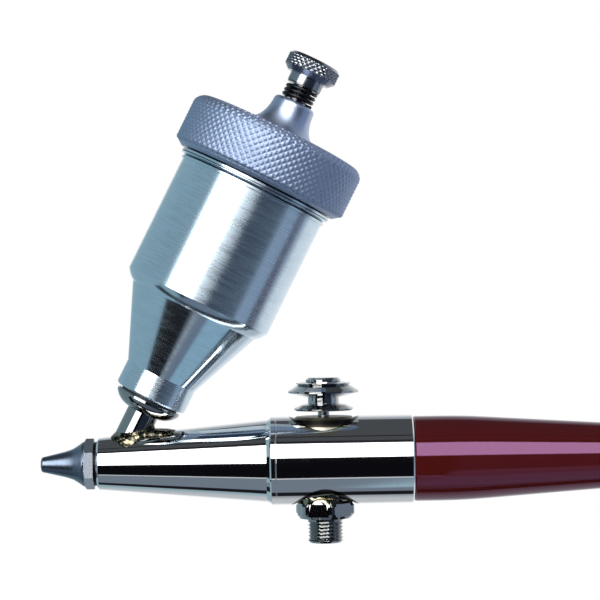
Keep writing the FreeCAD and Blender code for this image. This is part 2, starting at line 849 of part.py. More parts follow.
def build_braze():
    """Braze metal: a bead behind the tube where it enters the cone, and a tail along the cone's top."""
    tube = radius("neck_tube_diameter")
    lean = size("cup_tilt")
    crossing = size("cup_rise") - radius("nose_front_diameter")
    depth = -crossing / cosine(lean)
    low = depth - size("braze_bead_below")
    high = depth + size("braze_bead_above")
    bead = document.addObject("Part::Cone", "braze_bead_tool")
    bead.setExpression("Radius1", (tube + size("braze_bead")).formula)
    bead.setExpression("Radius2", (tube - size("braze_bead_shift") + drill_gap).formula)
    bead.setExpression("Height", (high - low).formula)
    root = ON_CUP.raised(low)
    Place(root.x + size("braze_bead_shift"), root.z, lean).put(bead)

    length = radius("braze_tail_length")
    height = size("braze_tail_height")
    tail = document.addObject("Part::Ellipsoid", "braze_tail_tool")
    tail.setExpression("Radius1", height.formula)
    tail.setExpression("Radius2", length.formula)
    tail.setExpression("Radius3", radius("braze_tail_width").formula)
    tail_x = ON_CUP.raised(depth).x + length - size("braze_tail_overlap")
    cone_top = radius("nose_front_diameter") + nose_slope * (tail_x - nose_front)
    Place(tail_x, size("inlet_drop") + cone_top - height / 2).put(tail)

    metal = document.addObject("Part::Fuse", "braze_metal_tool")
    metal.Base = bead
    metal.Tool = tail

    cone = document.addObject("Part::Cone", "braze_nose_tool")
    cone.setExpression("Radius1", radius("nose_front_diameter").formula)
    cone.setExpression("Radius2", radius("nose_back_diameter").formula)
    cone.setExpression("Height", (size("nose_length") - size("nose_step")).formula)
    Place(nose_front, size("inlet_drop"), Size.of(90)).put(cone)

    tube_tool = document.addObject("Part::Cylinder", "braze_tube_tool")
    tube_tool.setExpression("Radius", (tube + loose).formula)
    tube_tool.setExpression("Height", (size("neck_depth") + 2 * BEYOND).formula)
    ON_CUP.raised(-size("neck_depth") - BEYOND).put(tube_tool)

    tools = document.addObject("Part::Fuse", "braze_cut_tool")
    tools.Base = cone
    tools.Tool = tube_tool
    braze = document.addObject("Part::Cut", "neck_braze")
    braze.Label = "neck_braze"
    braze.Base = metal
    braze.Tool = tools
    document.recompute()


underside = size("gasket_thickness") / 2
cup_top = underside + size("cup_height")
lid_ceiling = cup_top + size("lid_gasket_thickness")
lid_bottom = cup_top - size("lid_skirt")
lid_top = lid_bottom + size("lid_height")
hub_top = lid_top + size("hub_height")


def build_cup():
    """Thin-walled cup: foot, cone, shoulder, straight wall and a thicker threaded rim."""
    wall = size("cup_wall")
    foot = radius("foot_diameter")
    outer = radius("cup_diameter")
    cone = outer - size("shoulder_step")
    foot_top = underside + size("foot_height")
    cone_top = underside + size("cone_top")
    shoulder_top = cone_top + size("shoulder_height")
    floor = underside + size("cup_floor")
    rim_start = underside + size("cup_rim")
    lag = size("cup_inner_rise")
    hole = radius("outlet_thread_diameter") + loose
    turned("cup", "V_Axis", [
        (hole, underside),
        (foot - small_edge, underside),
        (foot, underside + small_edge),
        (foot, foot_top),
        (cone, cone_top, size("shoulder_bend")),
        (outer, shoulder_top),
        (outer, rim_start - small_edge),
        (rim_radius, rim_start),
        (rim_radius, cup_top - small_edge),
        (rim_radius - small_edge, cup_top),
        (outer - wall, cup_top),
        (outer - wall, shoulder_top + lag),
        (cone - wall, cone_top + lag),
        (foot - wall, foot_top + lag),
        (foot - wall, floor),
        (hole, floor),
    ], ON_CUP)

    ring("cup_gasket", -underside, radius("outlet_thread_diameter") + size("gasket_gap"),
         radius("gasket_diameter"), size("gasket_thickness"), ON_CUP)

    thread = radius("outlet_thread_diameter")
    bore = radius("outlet_bore")
    head = radius("outlet_head_diameter")
    head_top = floor + size("outlet_head_height")
    low = end_gap - underside - size("outlet_thread_length")
    seat_depth = size("rod_tip_length")
    turned("cup_outlet", "V_Axis", [
        (bore, low),
        (thread - small_edge, low),
        (thread, low + small_edge),
        (thread, floor),
        (head, floor),
        (head, head_top - fine_edge),
        (head - fine_edge, head_top),
        (bore + seat_depth, head_top),
        (bore, head_top - seat_depth),
    ], ON_CUP)


def build_lid_group():
    """Lid with its skirt over the cup's rim, gasket, and the hub held by a nut from below."""
    outer = rim_radius + size("lid_wall")
    edge = size("lid_edge")
    skirt = rim_radius + size("running_gap")
    hub_thread = radius("hub_thread_diameter")
    turned("lid", "V_Axis", [
        (skirt, lid_bottom),
        (outer - edge, lid_bottom),
        (outer, lid_bottom + size("lid_chamfer_rise")),
        (outer, lid_top - edge, size("lid_edge_bend")),
        (outer - edge, lid_top),
        (hub_thread + loose, lid_top),
        (hub_thread + loose, lid_ceiling),
        (skirt, lid_ceiling),
    ], ON_CUP)

    gasket_outer = rim_radius - small_edge
    ring("lid_gasket", cup_top, gasket_outer - size("lid_gasket_width"), gasket_outer,
         size("lid_gasket_thickness"), ON_CUP)

    base = radius("hub_base_diameter")
    waist = radius("hub_waist_diameter")
    crown = radius("hub_top_diameter")
    waist_z = lid_top + size("hub_waist_height")
    rod_way = radius("rod_diameter") + running
    nut_bottom = lid_ceiling - size("hub_nut_height")
    shank_end = nut_bottom - size("hub_nut_stand")
    crown_edge = size("hub_crown_edge")
    groove_low = shank_end + size("hub_groove_start")
    groove_high = groove_low + size("seal_wire") + end_gap
    groove = rod_way + size("seal_wire") + drill_gap
    turned("lid_hub", "V_Axis", [
        (rod_way, shank_end),
        (hub_thread - small_edge, shank_end),
        (hub_thread, shank_end + small_edge),
        (hub_thread, lid_top),
        (base, lid_top),
        (base, lid_top + size("hub_foot"), -size("hub_flare")),
        (waist, waist_z),
        (crown, hub_top - crown_edge, size("hub_crown_bend")),
        (crown - crown_edge, hub_top),
        (rod_way, hub_top),
        (rod_way, groove_high),
        (groove, groove_high),
        (groove, groove_low),
        (rod_way, groove_low),
    ], ON_CUP)
    o_ring("rod_seal", (groove_low + groove_high) / 2, size("rod_diameter"), ON_CUP)

    corner = size("hub_nut_hex") / cosine(Size.of(30)) / 2
    nut = turned("hub_nut", "V_Axis", [
        (hub_thread + loose, nut_bottom),
        (corner - small_edge, nut_bottom),
        (corner, nut_bottom + small_edge),
        (corner, lid_ceiling),
        (hub_thread + loose, lid_ceiling),
    ], ON_CUP)
    hex_flats(nut, "hub_nut_flats", "XY_Plane", "Z_Axis", size("hub_nut_hex"), nut_bottom,
              size("hub_nut_height"), corner + BEYOND)


def build_metering_group():
    """Screw that sets the flow: rod with a cone tip, its spring and washer, and the knurled knob."""
    rod = radius("rod_diameter")
    shoulder = radius("rod_shoulder_diameter")
    floor = underside + size("cup_floor")
    seat_top = floor + size("outlet_head_height")
    gap = size("seat_gap")
    tip = size("rod_tip_length")
    bore = radius("outlet_bore")
    tip_high = seat_top - tip + (rod - bore) + gap
    washer_low = hub_top + size("spring_length")
    knob_low = washer_low + size("spring_washer_thickness")
    rod_top = knob_low + size("rod_thread_grip")
    shoulder_low = hub_top + size("rod_shoulder_start")
    turned("metering_rod", "V_Axis", [
        (ZERO, tip_high - tip),
        (rod - tip, tip_high - tip),
        (rod, tip_high),
        (rod, shoulder_low),
        (shoulder, shoulder_low),
        (shoulder, knob_low),
        (rod, knob_low),
        (rod, rod_top),
        (ZERO, rod_top),
    ], ON_CUP)

    coil_spring("knob_spring", hub_top, size("spring_length"), size("spring_diameter"),
                size("spring_wire"), size("spring_turns"), ON_CUP)
    ring("spring_washer", washer_low, shoulder + running, radius("spring_washer_diameter"),
         size("spring_washer_thickness"), ON_CUP)

    neck = radius("knob_neck_diameter")
    head = radius("knob_diameter")
    edge = size("knob_edge")
    neck_top = knob_low + size("knob_neck_height")
    head_low = neck_top + size("knob_undercut")
    knob_top = knob_low + size("knob_height")
    turned("metering_knob", "V_Axis", [
        (rod + loose, knob_low),
        (neck, knob_low),
        (neck, neck_top),
        (neck + size("knob_lip"), neck_top),
        (head, head_low),
        (head, knob_top - edge),
        (head - edge, knob_top),
        (ZERO, knob_top),
        (ZERO, rod_top + drill_gap),
        (rod + loose, rod_top + drill_gap),
    ], ON_CUP)


# ---------------------------------------------------------------------------------------------
# Trigger and air valve, on the vertical axis through the barrel
# ---------------------------------------------------------------------------------------------

ON_TRIGGER = Place(z=size("inlet_drop"))
stem_bottom = size("stem_end") - size("valve_shank_top")


def build_trigger():
    """Stepped button on a thin stem, guided by a bush in the floor of the well."""
    stem = radius("stem_diameter")
    disc = radius("foot_disc_diameter")
    neck = radius("button_neck_diameter")
    rim = radius("button_diameter")
    step = radius("button_step_diameter")
    cap = radius("button_cap_diameter")
    low = size("trigger_underside")
    disc_top = low + size("foot_disc_edge")
    neck_low = disc_top + size("foot_disc_rise")
    neck_top = neck_low + size("button_neck_height")
    rim_low = neck_top + size("button_under_rise")
    rim_top = rim_low + size("button_rim_edge")
    step_top = rim_top + size("button_step_height")
    waist = radius("button_waist_diameter")
    waist_top = step_top + size("button_waist_height")
    cap_top = step_top + size("button_cap_height")
    crown = cap_top + size("button_dome")
    flare = size("button_flare")
    flare_height = size("button_flare_height")
    stem_top = low + size("stem_grip")
    turned("trigger_button", "V_Axis", [
        (stem + loose, low),
        (disc - fine_edge, low),
        (disc, low + fine_edge),
        (disc, disc_top),
        (neck + flare, neck_low - flare_height),
        (neck, neck_low),
        (neck, neck_top),
        (neck + flare, neck_top + flare_height),
        (rim, rim_low),
        (rim, rim_top),
        (step - size("button_step_waist"), step_top - size("button_step_edge") * 2),
        (step, step_top - size("button_step_edge")),
        (step, step_top),
        (waist, waist_top),
        (cap, cap_top - small_edge),
        (cap, cap_top),
        (cap - size("button_cap_edge"), crown),
        (ZERO, crown),
        (ZERO, stem_top + drill_gap),
        (stem + loose, stem_top + drill_gap),
    ], ON_TRIGGER)

    turned("trigger_stem", "V_Axis", [
        (ZERO, stem_bottom),
        (stem, stem_bottom),
        (stem, stem_top),
        (ZERO, stem_top),
    ], ON_TRIGGER)

    floor = size("well_floor")
    bush = radius("bush_diameter")
    head = radius("bush_head_diameter")
    head_edge = size("bush_head_edge")
    bush_bottom = floor - size("bush_length")
    bush_top = barrel_radius - size("bush_head_sink")
    turned("trigger_bush", "V_Axis", [
        (stem + running, bush_bottom),
        (bush, bush_bottom),
        (bush, floor),
        (head, floor),
        (head, bush_top - head_edge),
        (head - head_edge, bush_top),
        (stem + running, bush_top),
    ], ON_TRIGGER)
    seal_height = bush_bottom - radius("seal_wire")
    o_ring("trigger_seal", seal_height, size("stem_diameter"), ON_TRIGGER)


def build_valve():
    """Air valve: hex body with the inlet stub, plunger, seal, spring and retainer."""
    hex_top = size("spot_face_depth") - barrel_radius
    hex_low = hex_top - size("valve_hex_height")
    shank = radius("valve_shank_diameter")
    shank_top = -size("valve_shank_top")
    corner = radius("valve_hex_corner")
    stub = radius("inlet_diameter")
    stub_end = -size("inlet_drop")
    chamber = radius("valve_chamber_diameter")
    chamber_top = shank_top - size("valve_seat_thickness")
    hole = radius("valve_hole_diameter")
    rounding = size("valve_hex_cut")
    edge = size("valve_hex_edge")
    slope = size("valve_hex_slope")
    body = turned("valve_body", "V_Axis", [
        (hole, shank_top),
        (hole, chamber_top),
        (chamber, chamber_top),
        (chamber, stub_end),
        (stub, stub_end),
        (stub, hex_low),
        (corner - rounding, hex_low + slope),
        (corner, hex_low + edge),
        (corner, hex_top - edge),
        (corner - rounding, hex_top - slope),
        (shank + size("valve_hex_seat"), hex_top),
        (shank, hex_top),
        (shank, shank_top),
    ], ON_VALVE)
    hex_flats(body, "valve_flats", "XY_Plane", "Z_Axis", size("valve_hex"), hex_low,
              size("valve_hex_height"), corner + BEYOND)

    ring("valve_gasket", shank_top, hole + size("valve_gasket_inset"), shank - drill_gap,
         size("valve_gasket_thickness"), ON_VALVE)

    pin = radius("plunger_pin_diameter")
    head = radius("plunger_head_diameter")
    seal = size("seal_wire")
    head_top = chamber_top - seal - size("seal_rest")
    head_low = head_top - size("plunger_head_height")
    tail_end = head_low - size("plunger_tail")
    pin_top = stem_bottom - size("stem_to_pin")
    turned("valve_plunger", "V_Axis", [
        (ZERO, tail_end),
        (pin, tail_end),
        (pin, head_low),
        (head, head_low),
        (head, head_top),
        (pin, head_top),
        (pin, pin_top),
        (ZERO, pin_top),
    ], ON_VALVE)
    o_ring("valve_seal", head_top + seal / 2, size("plunger_pin_diameter"), ON_VALVE)

    retainer_low = stub_end + size("retainer_depth")
    retainer_high = retainer_low + size("retainer_height")
    ring("spring_retainer", retainer_low, radius("retainer_hole"), chamber - loose,
         size("retainer_height"), ON_VALVE)
    coil_spring("valve_spring", retainer_high, head_low - retainer_high,
                size("valve_spring_diameter"), size("valve_spring_wire"), size("valve_spring_turns"),
                ON_VALVE)


# ---------------------------------------------------------------------------------------------
# Build, check and write
# ---------------------------------------------------------------------------------------------

build_barrel()
build_handle_group()
build_nose_body()
build_nozzle_group()
build_air_line()
build_neck()
build_braze()
build_cup()
build_lid_group()
build_metering_group()
build_trigger()
build_valve()
document.recompute()

PIECES = [
    "nozzle_cap", "nozzle_insert", "nozzle_washer", "inner_jet", "air_tube", "jet_packing_nut",
    "nose_seal", "nose_body", "cup_neck", "neck_braze", "barrel", "trigger_button", "trigger_stem",
    "trigger_bush", "trigger_seal", "valve_body", "valve_gasket", "valve_plunger", "valve_seal",
    "valve_spring", "spring_retainer", "handle", "handle_spigot", "cup", "cup_gasket", "cup_outlet",
    "lid", "lid_gasket", "lid_hub", "hub_nut", "rod_seal", "metering_rod", "metering_knob",
    "knob_spring", "spring_washer",
]

for thing in document.Objects:
    if "Invalid" in thing.State or "Error" in thing.State:
        raise RuntimeError("%s failed: %s" % (thing.Name, thing.State))

os.makedirs("parts", exist_ok=True)
for label in PIECES:
    piece = document.getObject(label)
    if piece.Label != label or piece.Shape.isNull() or not piece.Shape.isValid():
        raise RuntimeError("the shape of %s is not usable" % label)
for label in PIECES:
    shape = document.getObject(label).Shape
    shape.exportStep(os.path.join("parts", label + ".step"))
    print(label, len(shape.Solids), "solid,", round(shape.Volume, 2), "mm3")
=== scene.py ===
# %% [markdown]
# # A gravity-fed airbrush gun
# The gun is a chromed barrel with a tapered nose, a leaning aluminium cup with a knurled lid, a
# stepped trigger button, a hex air inlet and a red lacquered handle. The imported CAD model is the
# frame: it fixes every size and place, and each moving piece rides on one of its bodies. This
# script gives the frame its finishes, and replaces the few pieces whose fine relief, such as
# knurls and screw threads, is plain in the CAD. The first cell loads the frame and keeps its box.

# %% Load the frame
import json
import math

import bpy
import bmesh
import numpy as np
from mathutils import Matrix, Vector, noise


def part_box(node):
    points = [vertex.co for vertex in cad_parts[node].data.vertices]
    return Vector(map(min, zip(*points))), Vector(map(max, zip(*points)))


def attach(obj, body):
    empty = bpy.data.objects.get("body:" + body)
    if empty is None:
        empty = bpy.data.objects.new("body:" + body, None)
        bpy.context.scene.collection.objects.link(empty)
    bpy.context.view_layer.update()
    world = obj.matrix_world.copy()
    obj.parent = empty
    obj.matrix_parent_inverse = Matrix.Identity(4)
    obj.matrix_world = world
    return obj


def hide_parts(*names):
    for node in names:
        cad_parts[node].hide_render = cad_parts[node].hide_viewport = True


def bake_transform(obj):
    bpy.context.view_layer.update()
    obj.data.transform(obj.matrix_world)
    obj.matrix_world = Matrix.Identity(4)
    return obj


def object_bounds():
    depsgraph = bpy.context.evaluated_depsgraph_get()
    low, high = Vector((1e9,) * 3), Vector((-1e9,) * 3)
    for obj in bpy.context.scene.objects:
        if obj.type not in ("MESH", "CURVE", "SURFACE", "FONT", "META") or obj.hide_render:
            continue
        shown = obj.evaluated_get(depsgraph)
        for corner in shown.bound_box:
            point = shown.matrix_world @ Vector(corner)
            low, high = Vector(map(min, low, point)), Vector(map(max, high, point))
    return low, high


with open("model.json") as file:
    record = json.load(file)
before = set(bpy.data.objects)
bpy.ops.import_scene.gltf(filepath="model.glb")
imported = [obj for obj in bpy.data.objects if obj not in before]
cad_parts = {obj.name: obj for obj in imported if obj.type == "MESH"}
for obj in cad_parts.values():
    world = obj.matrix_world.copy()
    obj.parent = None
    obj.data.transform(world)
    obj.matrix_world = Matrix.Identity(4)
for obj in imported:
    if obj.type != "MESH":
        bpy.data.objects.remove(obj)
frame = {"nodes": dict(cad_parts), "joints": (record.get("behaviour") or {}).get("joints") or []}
cad_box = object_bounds()
nodes = frame["nodes"]
joints = {joint["name"]: joint for joint in frame["joints"]}
MM = 0.001
print("frame:", len(nodes), "pieces, box", [round(x / MM, 1) for corner in cad_box for x in corner])

# %% [markdown]
# ## Three axes
# Nearly every piece of the gun was turned on a lathe, so it is round about one of three axes: the
# barrel's, the cup's or the upright one through trigger and valve. A place is a matrix whose Z
# axis is the lathe's axis. The cup's place comes from the joint that turns the lid, because that
# joint turns about the same axis; the barrel's height is the middle of the barrel's box.

# %% The three places
cup_foot = Vector(joints["lid_turn"]["pos_m"])
cup_up = Vector(joints["lid_turn"]["axis"]).normalized()
cup_lean = math.atan2(cup_up.x, cup_up.z)
cup_place = Matrix.Translation(cup_foot) @ Matrix.Rotation(cup_lean, 4, "Y")

barrel_low, barrel_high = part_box("barrel")
barrel_centre = Vector((0, 0, (barrel_low.z + barrel_high.z) / 2))
trigger_place = Matrix.Translation(barrel_centre)
barrel_along = Vector((1, 0, 0))
print("cup leans", round(math.degrees(cup_lean), 1), "degrees from upright")
print("barrel axis at height", round(barrel_centre.z / MM, 3), "mm")
print("cup foot at height", round(cup_foot.z / MM, 3), "mm")

# %% [markdown]
# ## Reading a turned piece's outline
# To add a knurl or a thread to a piece, its outline is needed first. A lathe-turned solid shows
# it: where its faces close on themselves, at zero degrees, the mesh has an edge along every
# slanted or upright run of the outline. The level runs, which are flat rings, have no edge there,
# so they are found by joining loose ends of equal height, and an end with no partner runs to the
# axis. The outline could be typed in again instead, but then it would drift from the frame.

# %% Outline of a turned CAD node
SEAM_SLACK = 0.001 * MM
LEVEL_SLACK = 0.002


def seam_points(node, place):
    """Each vertex of a CAD node on the place's zero-degree side, as a rounded (radius, height)."""
    inverse = place.inverted()
    found = {}
    for vertex in nodes[node].data.vertices:
        point = inverse @ vertex.co
        if abs(point.y) < SEAM_SLACK and point.x > -SEAM_SLACK:
            found[vertex.index] = (round(max(point.x, 0) / MM, 3), round(point.z / MM, 3))
    return found


def neighbours_on_seam(node, place):
    """The outline's points, each with the points that it is joined to."""
    found = seam_points(node, place)
    near = {point: set() for point in found.values()}
    for edge in nodes[node].data.edges:
        start, end = (found.get(index) for index in edge.vertices)
        if start and end and start != end:
            near[start].add(end)
            near[end].add(start)
    return {point: others for point, others in near.items() if others}


def outline_of(node, place):
    """The closed outline (radius, height) of a turned CAD node in millimetres, anticlockwise."""
    near = neighbours_on_seam(node, place)
    ends = sorted(point for point, others in near.items() if len(others) == 1)
    while ends:
        end = ends.pop()
        level = [other for other in ends if abs(other[1] - end[1]) < LEVEL_SLACK]
        partner = min(level, key=lambda other: abs(other[0] - end[0])) if level else (0.0, end[1])
        if level:
            ends.remove(partner)
        near.setdefault(partner, set()).add(end)
        near[end].add(partner)
    on_axis = [point for point, others in near.items() if point[0] == 0 and len(others) == 1]
    if len(on_axis) == 2:
        near[on_axis[0]].add(on_axis[1])
        near[on_axis[1]].add(on_axis[0])
    walk = [max(near)]
    step = sorted(near[walk[0]])[0]
    while step != walk[0]:
        walk.append(step)
        step = [other for other in near[step] if other not in walk[-2:]][0]
    pairs = zip(walk, walk[1:] + walk[:1])
    area = sum(a[0] * b[1] - b[0] * a[1] for a, b in pairs)
    return walk if area > 0 else walk[::-1]


cup_outline = outline_of("cup", cup_place)
lid_outline = outline_of("lid", cup_place)
knob_outline = outline_of("metering_knob", cup_place)
print("outline points: cup", len(cup_outline), "lid", len(lid_outline), "knob", len(knob_outline))

# %% [markdown]
# ## Turning an outline into a mesh
# A Screw modifier turns a profile, but it can't press a pattern into the metal. Here the outline
# becomes rows of vertices, one row round the axis for each of its points, and a relief function
# says how deep each vertex sinks along the outline's own normal. Runs that carry relief are cut
# into short steps first; all the others keep their corners, so plain faces stay light. Corners
# sharper than the crease angle stay sharp, and shallower ones are shaded smooth.

# %% Helpers for turned meshes
CREASE = 35
MERGE_DISTANCE = 0.0001 * MM
SHORTEST_NORMAL = 1e-9


def refined(outline, step, chosen):
    """Rows of (radius, height, share of relief), with the runs that are `chosen` cut into steps."""
    pairs = list(zip(outline, outline[1:] + outline[:1]))
    inside = [chosen((a[0] + b[0]) / 2, (a[1] + b[1]) / 2) for a, b in pairs]
    rows = []
    for index, (start, end) in enumerate(pairs):
        count = max(1, round(math.dist(start, end) / step)) if inside[index] else 1
        for part in range(count):
            share = part / count
            relief = inside[index] and (part > 0 or inside[index - 1])
            radius = start[0] + (end[0] - start[0]) * share
            height = start[1] + (end[1] - start[1]) * share
            rows.append((radius, height, float(relief)))
    return rows


def hex_limit(across, angle):
    """How far a hexagon's side lies from its centre in the direction of `angle`."""
    sixth = math.radians(60)
    return across / 2 / np.cos((angle % sixth) - sixth / 2)


def turned(name, rows, columns, place, relief=None, limit=None, crease=CREASE):
    """A mesh from outline rows turned about the place's Z axis; sizes in millimetres."""
    rows = np.array(rows)
    path = rows[:, :2]
    forward = np.roll(path, -1, 0) - np.roll(path, 1, 0)
    outward = np.stack([forward[:, 1], -forward[:, 0]], 1)
    outward /= np.maximum(np.linalg.norm(outward, axis=1, keepdims=True), SHORTEST_NORMAL)
    steps = np.linalg.norm(path - np.roll(path, 1, 0), axis=1)
    run = np.cumsum(steps)[:, None]
    angle = np.linspace(0, 2 * np.pi, columns, endpoint=False)[None, :]
    sink = rows[:, 2:3] * (relief(angle, run) if relief else 0 * angle)
    radius = path[:, :1] - outward[:, :1] * sink
    height = path[:, 1:] - outward[:, 1:] * sink
    if limit:
        radius = np.minimum(radius, limit(angle, height))
    points = np.stack([radius * np.cos(angle), radius * np.sin(angle), height + 0 * angle], 2) * MM
    row, column = np.meshgrid(np.arange(len(rows)), np.arange(columns), indexing="ij")
    after, right = (row + 1) % len(rows), (column + 1) % columns
    corners = [
        row * columns + column, row * columns + right,
        after * columns + right, after * columns + column,
    ]
    faces = np.stack(corners, 2).reshape(-1, 4)
    mesh = bpy.data.meshes.new(name)
    mesh.from_pydata(points.reshape(-1, 3).tolist(), [], faces.tolist())
    return finished(name, mesh, place, crease)


def finished(name, mesh, place, crease):
    """An object from a mesh: doubled points merged, normals outward, corners kept sharp."""
    build = bmesh.new()
    build.from_mesh(mesh)
    bmesh.ops.remove_doubles(build, verts=build.verts, dist=MERGE_DISTANCE)
    bmesh.ops.recalc_face_normals(build, faces=build.faces)
    build.to_mesh(mesh)
    build.free()
    mesh.transform(place)
    mesh.shade_smooth()
    mesh.set_sharp_from_angle(angle=math.radians(crease))
    made = bpy.data.objects.new(name, mesh)
    bpy.context.scene.collection.objects.link(made)
    print(name, "has", len(mesh.vertices), "points")
    return made


print("corner radius of a hexagon 10 mm across:", round(float(hex_limit(10.0, 0.0)), 2), "mm")

# %% [markdown]
# ## Small tools for shader trees
# Node trees are quicker to read when one line makes one node. `maths` and `vectors` make a Math
# or Vector Math node and plug numbers or other nodes' outputs into it. `steps_between` is a Map
# Range that goes smoothly from zero to one, which is how every mask below is made.

# %% Node helpers
def plug(tree, value, socket):
    """Set a socket to a plain value, or link an output to it."""
    if isinstance(value, bpy.types.NodeSocket):
        tree.links.new(value, socket)
    else:
        socket.default_value = value


def maths(tree, operation, *values):
    """A Math node."""
    made = tree.nodes.new("ShaderNodeMath")
    made.operation = operation
    for value, socket in zip(values, made.inputs):
        plug(tree, value, socket)
    return made.outputs[0]


def vectors(tree, operation, *values):
    """A Vector Math node."""
    made = tree.nodes.new("ShaderNodeVectorMath")
    made.operation = operation
    for value, socket in zip(values, made.inputs):
        plug(tree, value, socket)
    numbers = ("DOT_PRODUCT", "LENGTH", "DISTANCE")
    return made.outputs["Value" if operation in numbers else "Vector"]


def steps_between(tree, value, low, high):
    """Smoothly zero below `low` and one above `high`."""
    made = tree.nodes.new("ShaderNodeMapRange")
    made.interpolation_type = "SMOOTHSTEP"
    plug(tree, value, made.inputs["Value"])
    plug(tree, low, made.inputs["From Min"])
    plug(tree, high, made.inputs["From Max"])
    return made.outputs["Result"]


def blended(tree, share, first, second):
    """A colour that goes from the first to the second as share goes from zero to one."""
    made = tree.nodes.new("ShaderNodeMix")
    made.data_type = "RGBA"
    plug(tree, share, made.inputs["Factor"])
    plug(tree, first, made.inputs[6])
    plug(tree, second, made.inputs[7])
    return made.outputs[2]


def place_on_piece(tree):
    """Where a point lies on the resting gun, in metres: the object's own coordinates."""
    return tree.nodes.new("ShaderNodeTexCoord").outputs["Object"]


def scaled(tree, vector, factor):
    """A vector times a number."""
    made = tree.nodes.new("ShaderNodeVectorMath")
    made.operation = "SCALE"
    plug(tree, vector, made.inputs[0])
    plug(tree, factor, made.inputs["Scale"])
    return made.outputs[0]


def cloudy(tree, where, scale, detail=3.0):
    """Soft noise from zero to one; scale is in patches to the metre."""
    made = tree.nodes.new("ShaderNodeTexNoise")
    plug(tree, where, made.inputs["Vector"])
    plug(tree, scale, made.inputs["Scale"])
    made.inputs["Detail"].default_value = detail
    return made.outputs["Fac"]


print("helpers for shader trees are ready")

# %% [markdown]
# ## Turning marks
# A lathe's tool leaves fine rings round the piece, and they are what makes turned metal look
# satin. Noise makes them if it changes quickly along the lathe's axis and slowly round it, which
# gives long arcs that start and end at random. The group takes a point on the axis and its
# direction, so one group serves the cup, the lid, the nozzle and the barrel. It gives the marks
# as a height for a Bump node and as a mask that can shift colour and roughness.

# %% Group: turning marks
MARK_LAYERS = (("Fine", 0.6), ("Coarse", 0.4))
MARK_EDGES = (0.38, 0.62)


def new_group(name, inputs, outputs):
    """An empty shader group with number and vector inputs and number outputs."""
    group = bpy.data.node_groups.new(name, "ShaderNodeTree")
    kinds = {float: "NodeSocketFloat", tuple: "NodeSocketVector"}
    for label, value in inputs.items():
        kind = kinds[type(value)]
        socket = group.interface.new_socket(name=label, in_out="INPUT", socket_type=kind)
        socket.default_value = value
    for label in outputs:
        group.interface.new_socket(name=label, in_out="OUTPUT", socket_type="NodeSocketFloat")
    given = group.nodes.new("NodeGroupInput").outputs
    return group, given, group.nodes.new("NodeGroupOutput").inputs


def turning_marks_group():
    """Rings round a lathe axis, as a height and as a mask."""
    inputs = {
        "Axis Point": (0.0, 0.0, 0.0), "Axis": (1.0, 0.0, 0.0),
        "Fine": 3200.0, "Coarse": 800.0, "Arc": 2.5,
    }
    group, given, result = new_group("turning marks", inputs, ["Height", "Mask"])
    away = vectors(group, "SUBTRACT", place_on_piece(group), given["Axis Point"])
    along = vectors(group, "DOT_PRODUCT", away, given["Axis"])
    on_axis = scaled(group, given["Axis"], along)
    outward = vectors(group, "NORMALIZE", vectors(group, "SUBTRACT", away, on_axis))
    layers = []
    for density, share in MARK_LAYERS:
        up_axis = scaled(group, on_axis, given[density])
        where = vectors(group, "ADD", scaled(group, outward, given["Arc"]), up_axis)
        layers.append(maths(group, "MULTIPLY", cloudy(group, where, 1.0, 2.0), share))
    mixed = maths(group, "ADD", *layers)
    plug(group, mixed, result["Height"])
    plug(group, steps_between(group, mixed, *MARK_EDGES), result["Mask"])
    return group


TURNING_MARKS = turning_marks_group()
print("group:", TURNING_MARKS.name)

# %% [markdown]
# ## Handling marks
# Metal that is held and cleaned gets hairline scratches and faint smears. Hairlines are noise
# that is stretched about thirty times in one direction and cut off sharply; two directions are
# crossed here. Smears are large soft noise that only moves the roughness a little.

# %% Group: handling marks
HAIRLINE_TURNS = (0.5, 2.2)
HAIRLINE_AXIS = (0.3, 1.0, 0.2)
HAIRLINE_STRETCH = (1.0, 1.0, 0.03)
HAIRLINE_CUT = (0.70, 0.78)


def handling_marks_group():
    """Crossed hairline scratches and soft smears, as two masks."""
    inputs = {"Hairlines": 700.0, "Smears": 120.0}
    group, given, result = new_group("handling marks", inputs, ["Hairline", "Smear"])
    where = place_on_piece(group)
    crossed = []
    for turn in HAIRLINE_TURNS:
        rotate = group.nodes.new("ShaderNodeVectorRotate")
        rotate.inputs["Axis"].default_value = HAIRLINE_AXIS
        rotate.inputs["Angle"].default_value = turn
        plug(group, where, rotate.inputs["Vector"])
        stretched = vectors(group, "MULTIPLY", rotate.outputs["Vector"], HAIRLINE_STRETCH)
        lines = cloudy(group, stretched, given["Hairlines"], 1.0)
        crossed.append(steps_between(group, lines, *HAIRLINE_CUT))
    plug(group, maths(group, "MAXIMUM", *crossed), result["Hairline"])
    plug(group, cloudy(group, where, given["Smears"]), result["Smear"])
    return group


HANDLING_MARKS = handling_marks_group()
print("group:", HANDLING_MARKS.name)


# %% [markdown]
# ## A finish under construction
# Every material here is one Principled BSDF with a few nodes in front of it. A small class holds
# it while it is made: it sets values on the shader's own sockets, places a shared group and adds
# the bump. A value that is the same all over goes straight on the socket, where it stays easy to
# find and an exporter can read it.

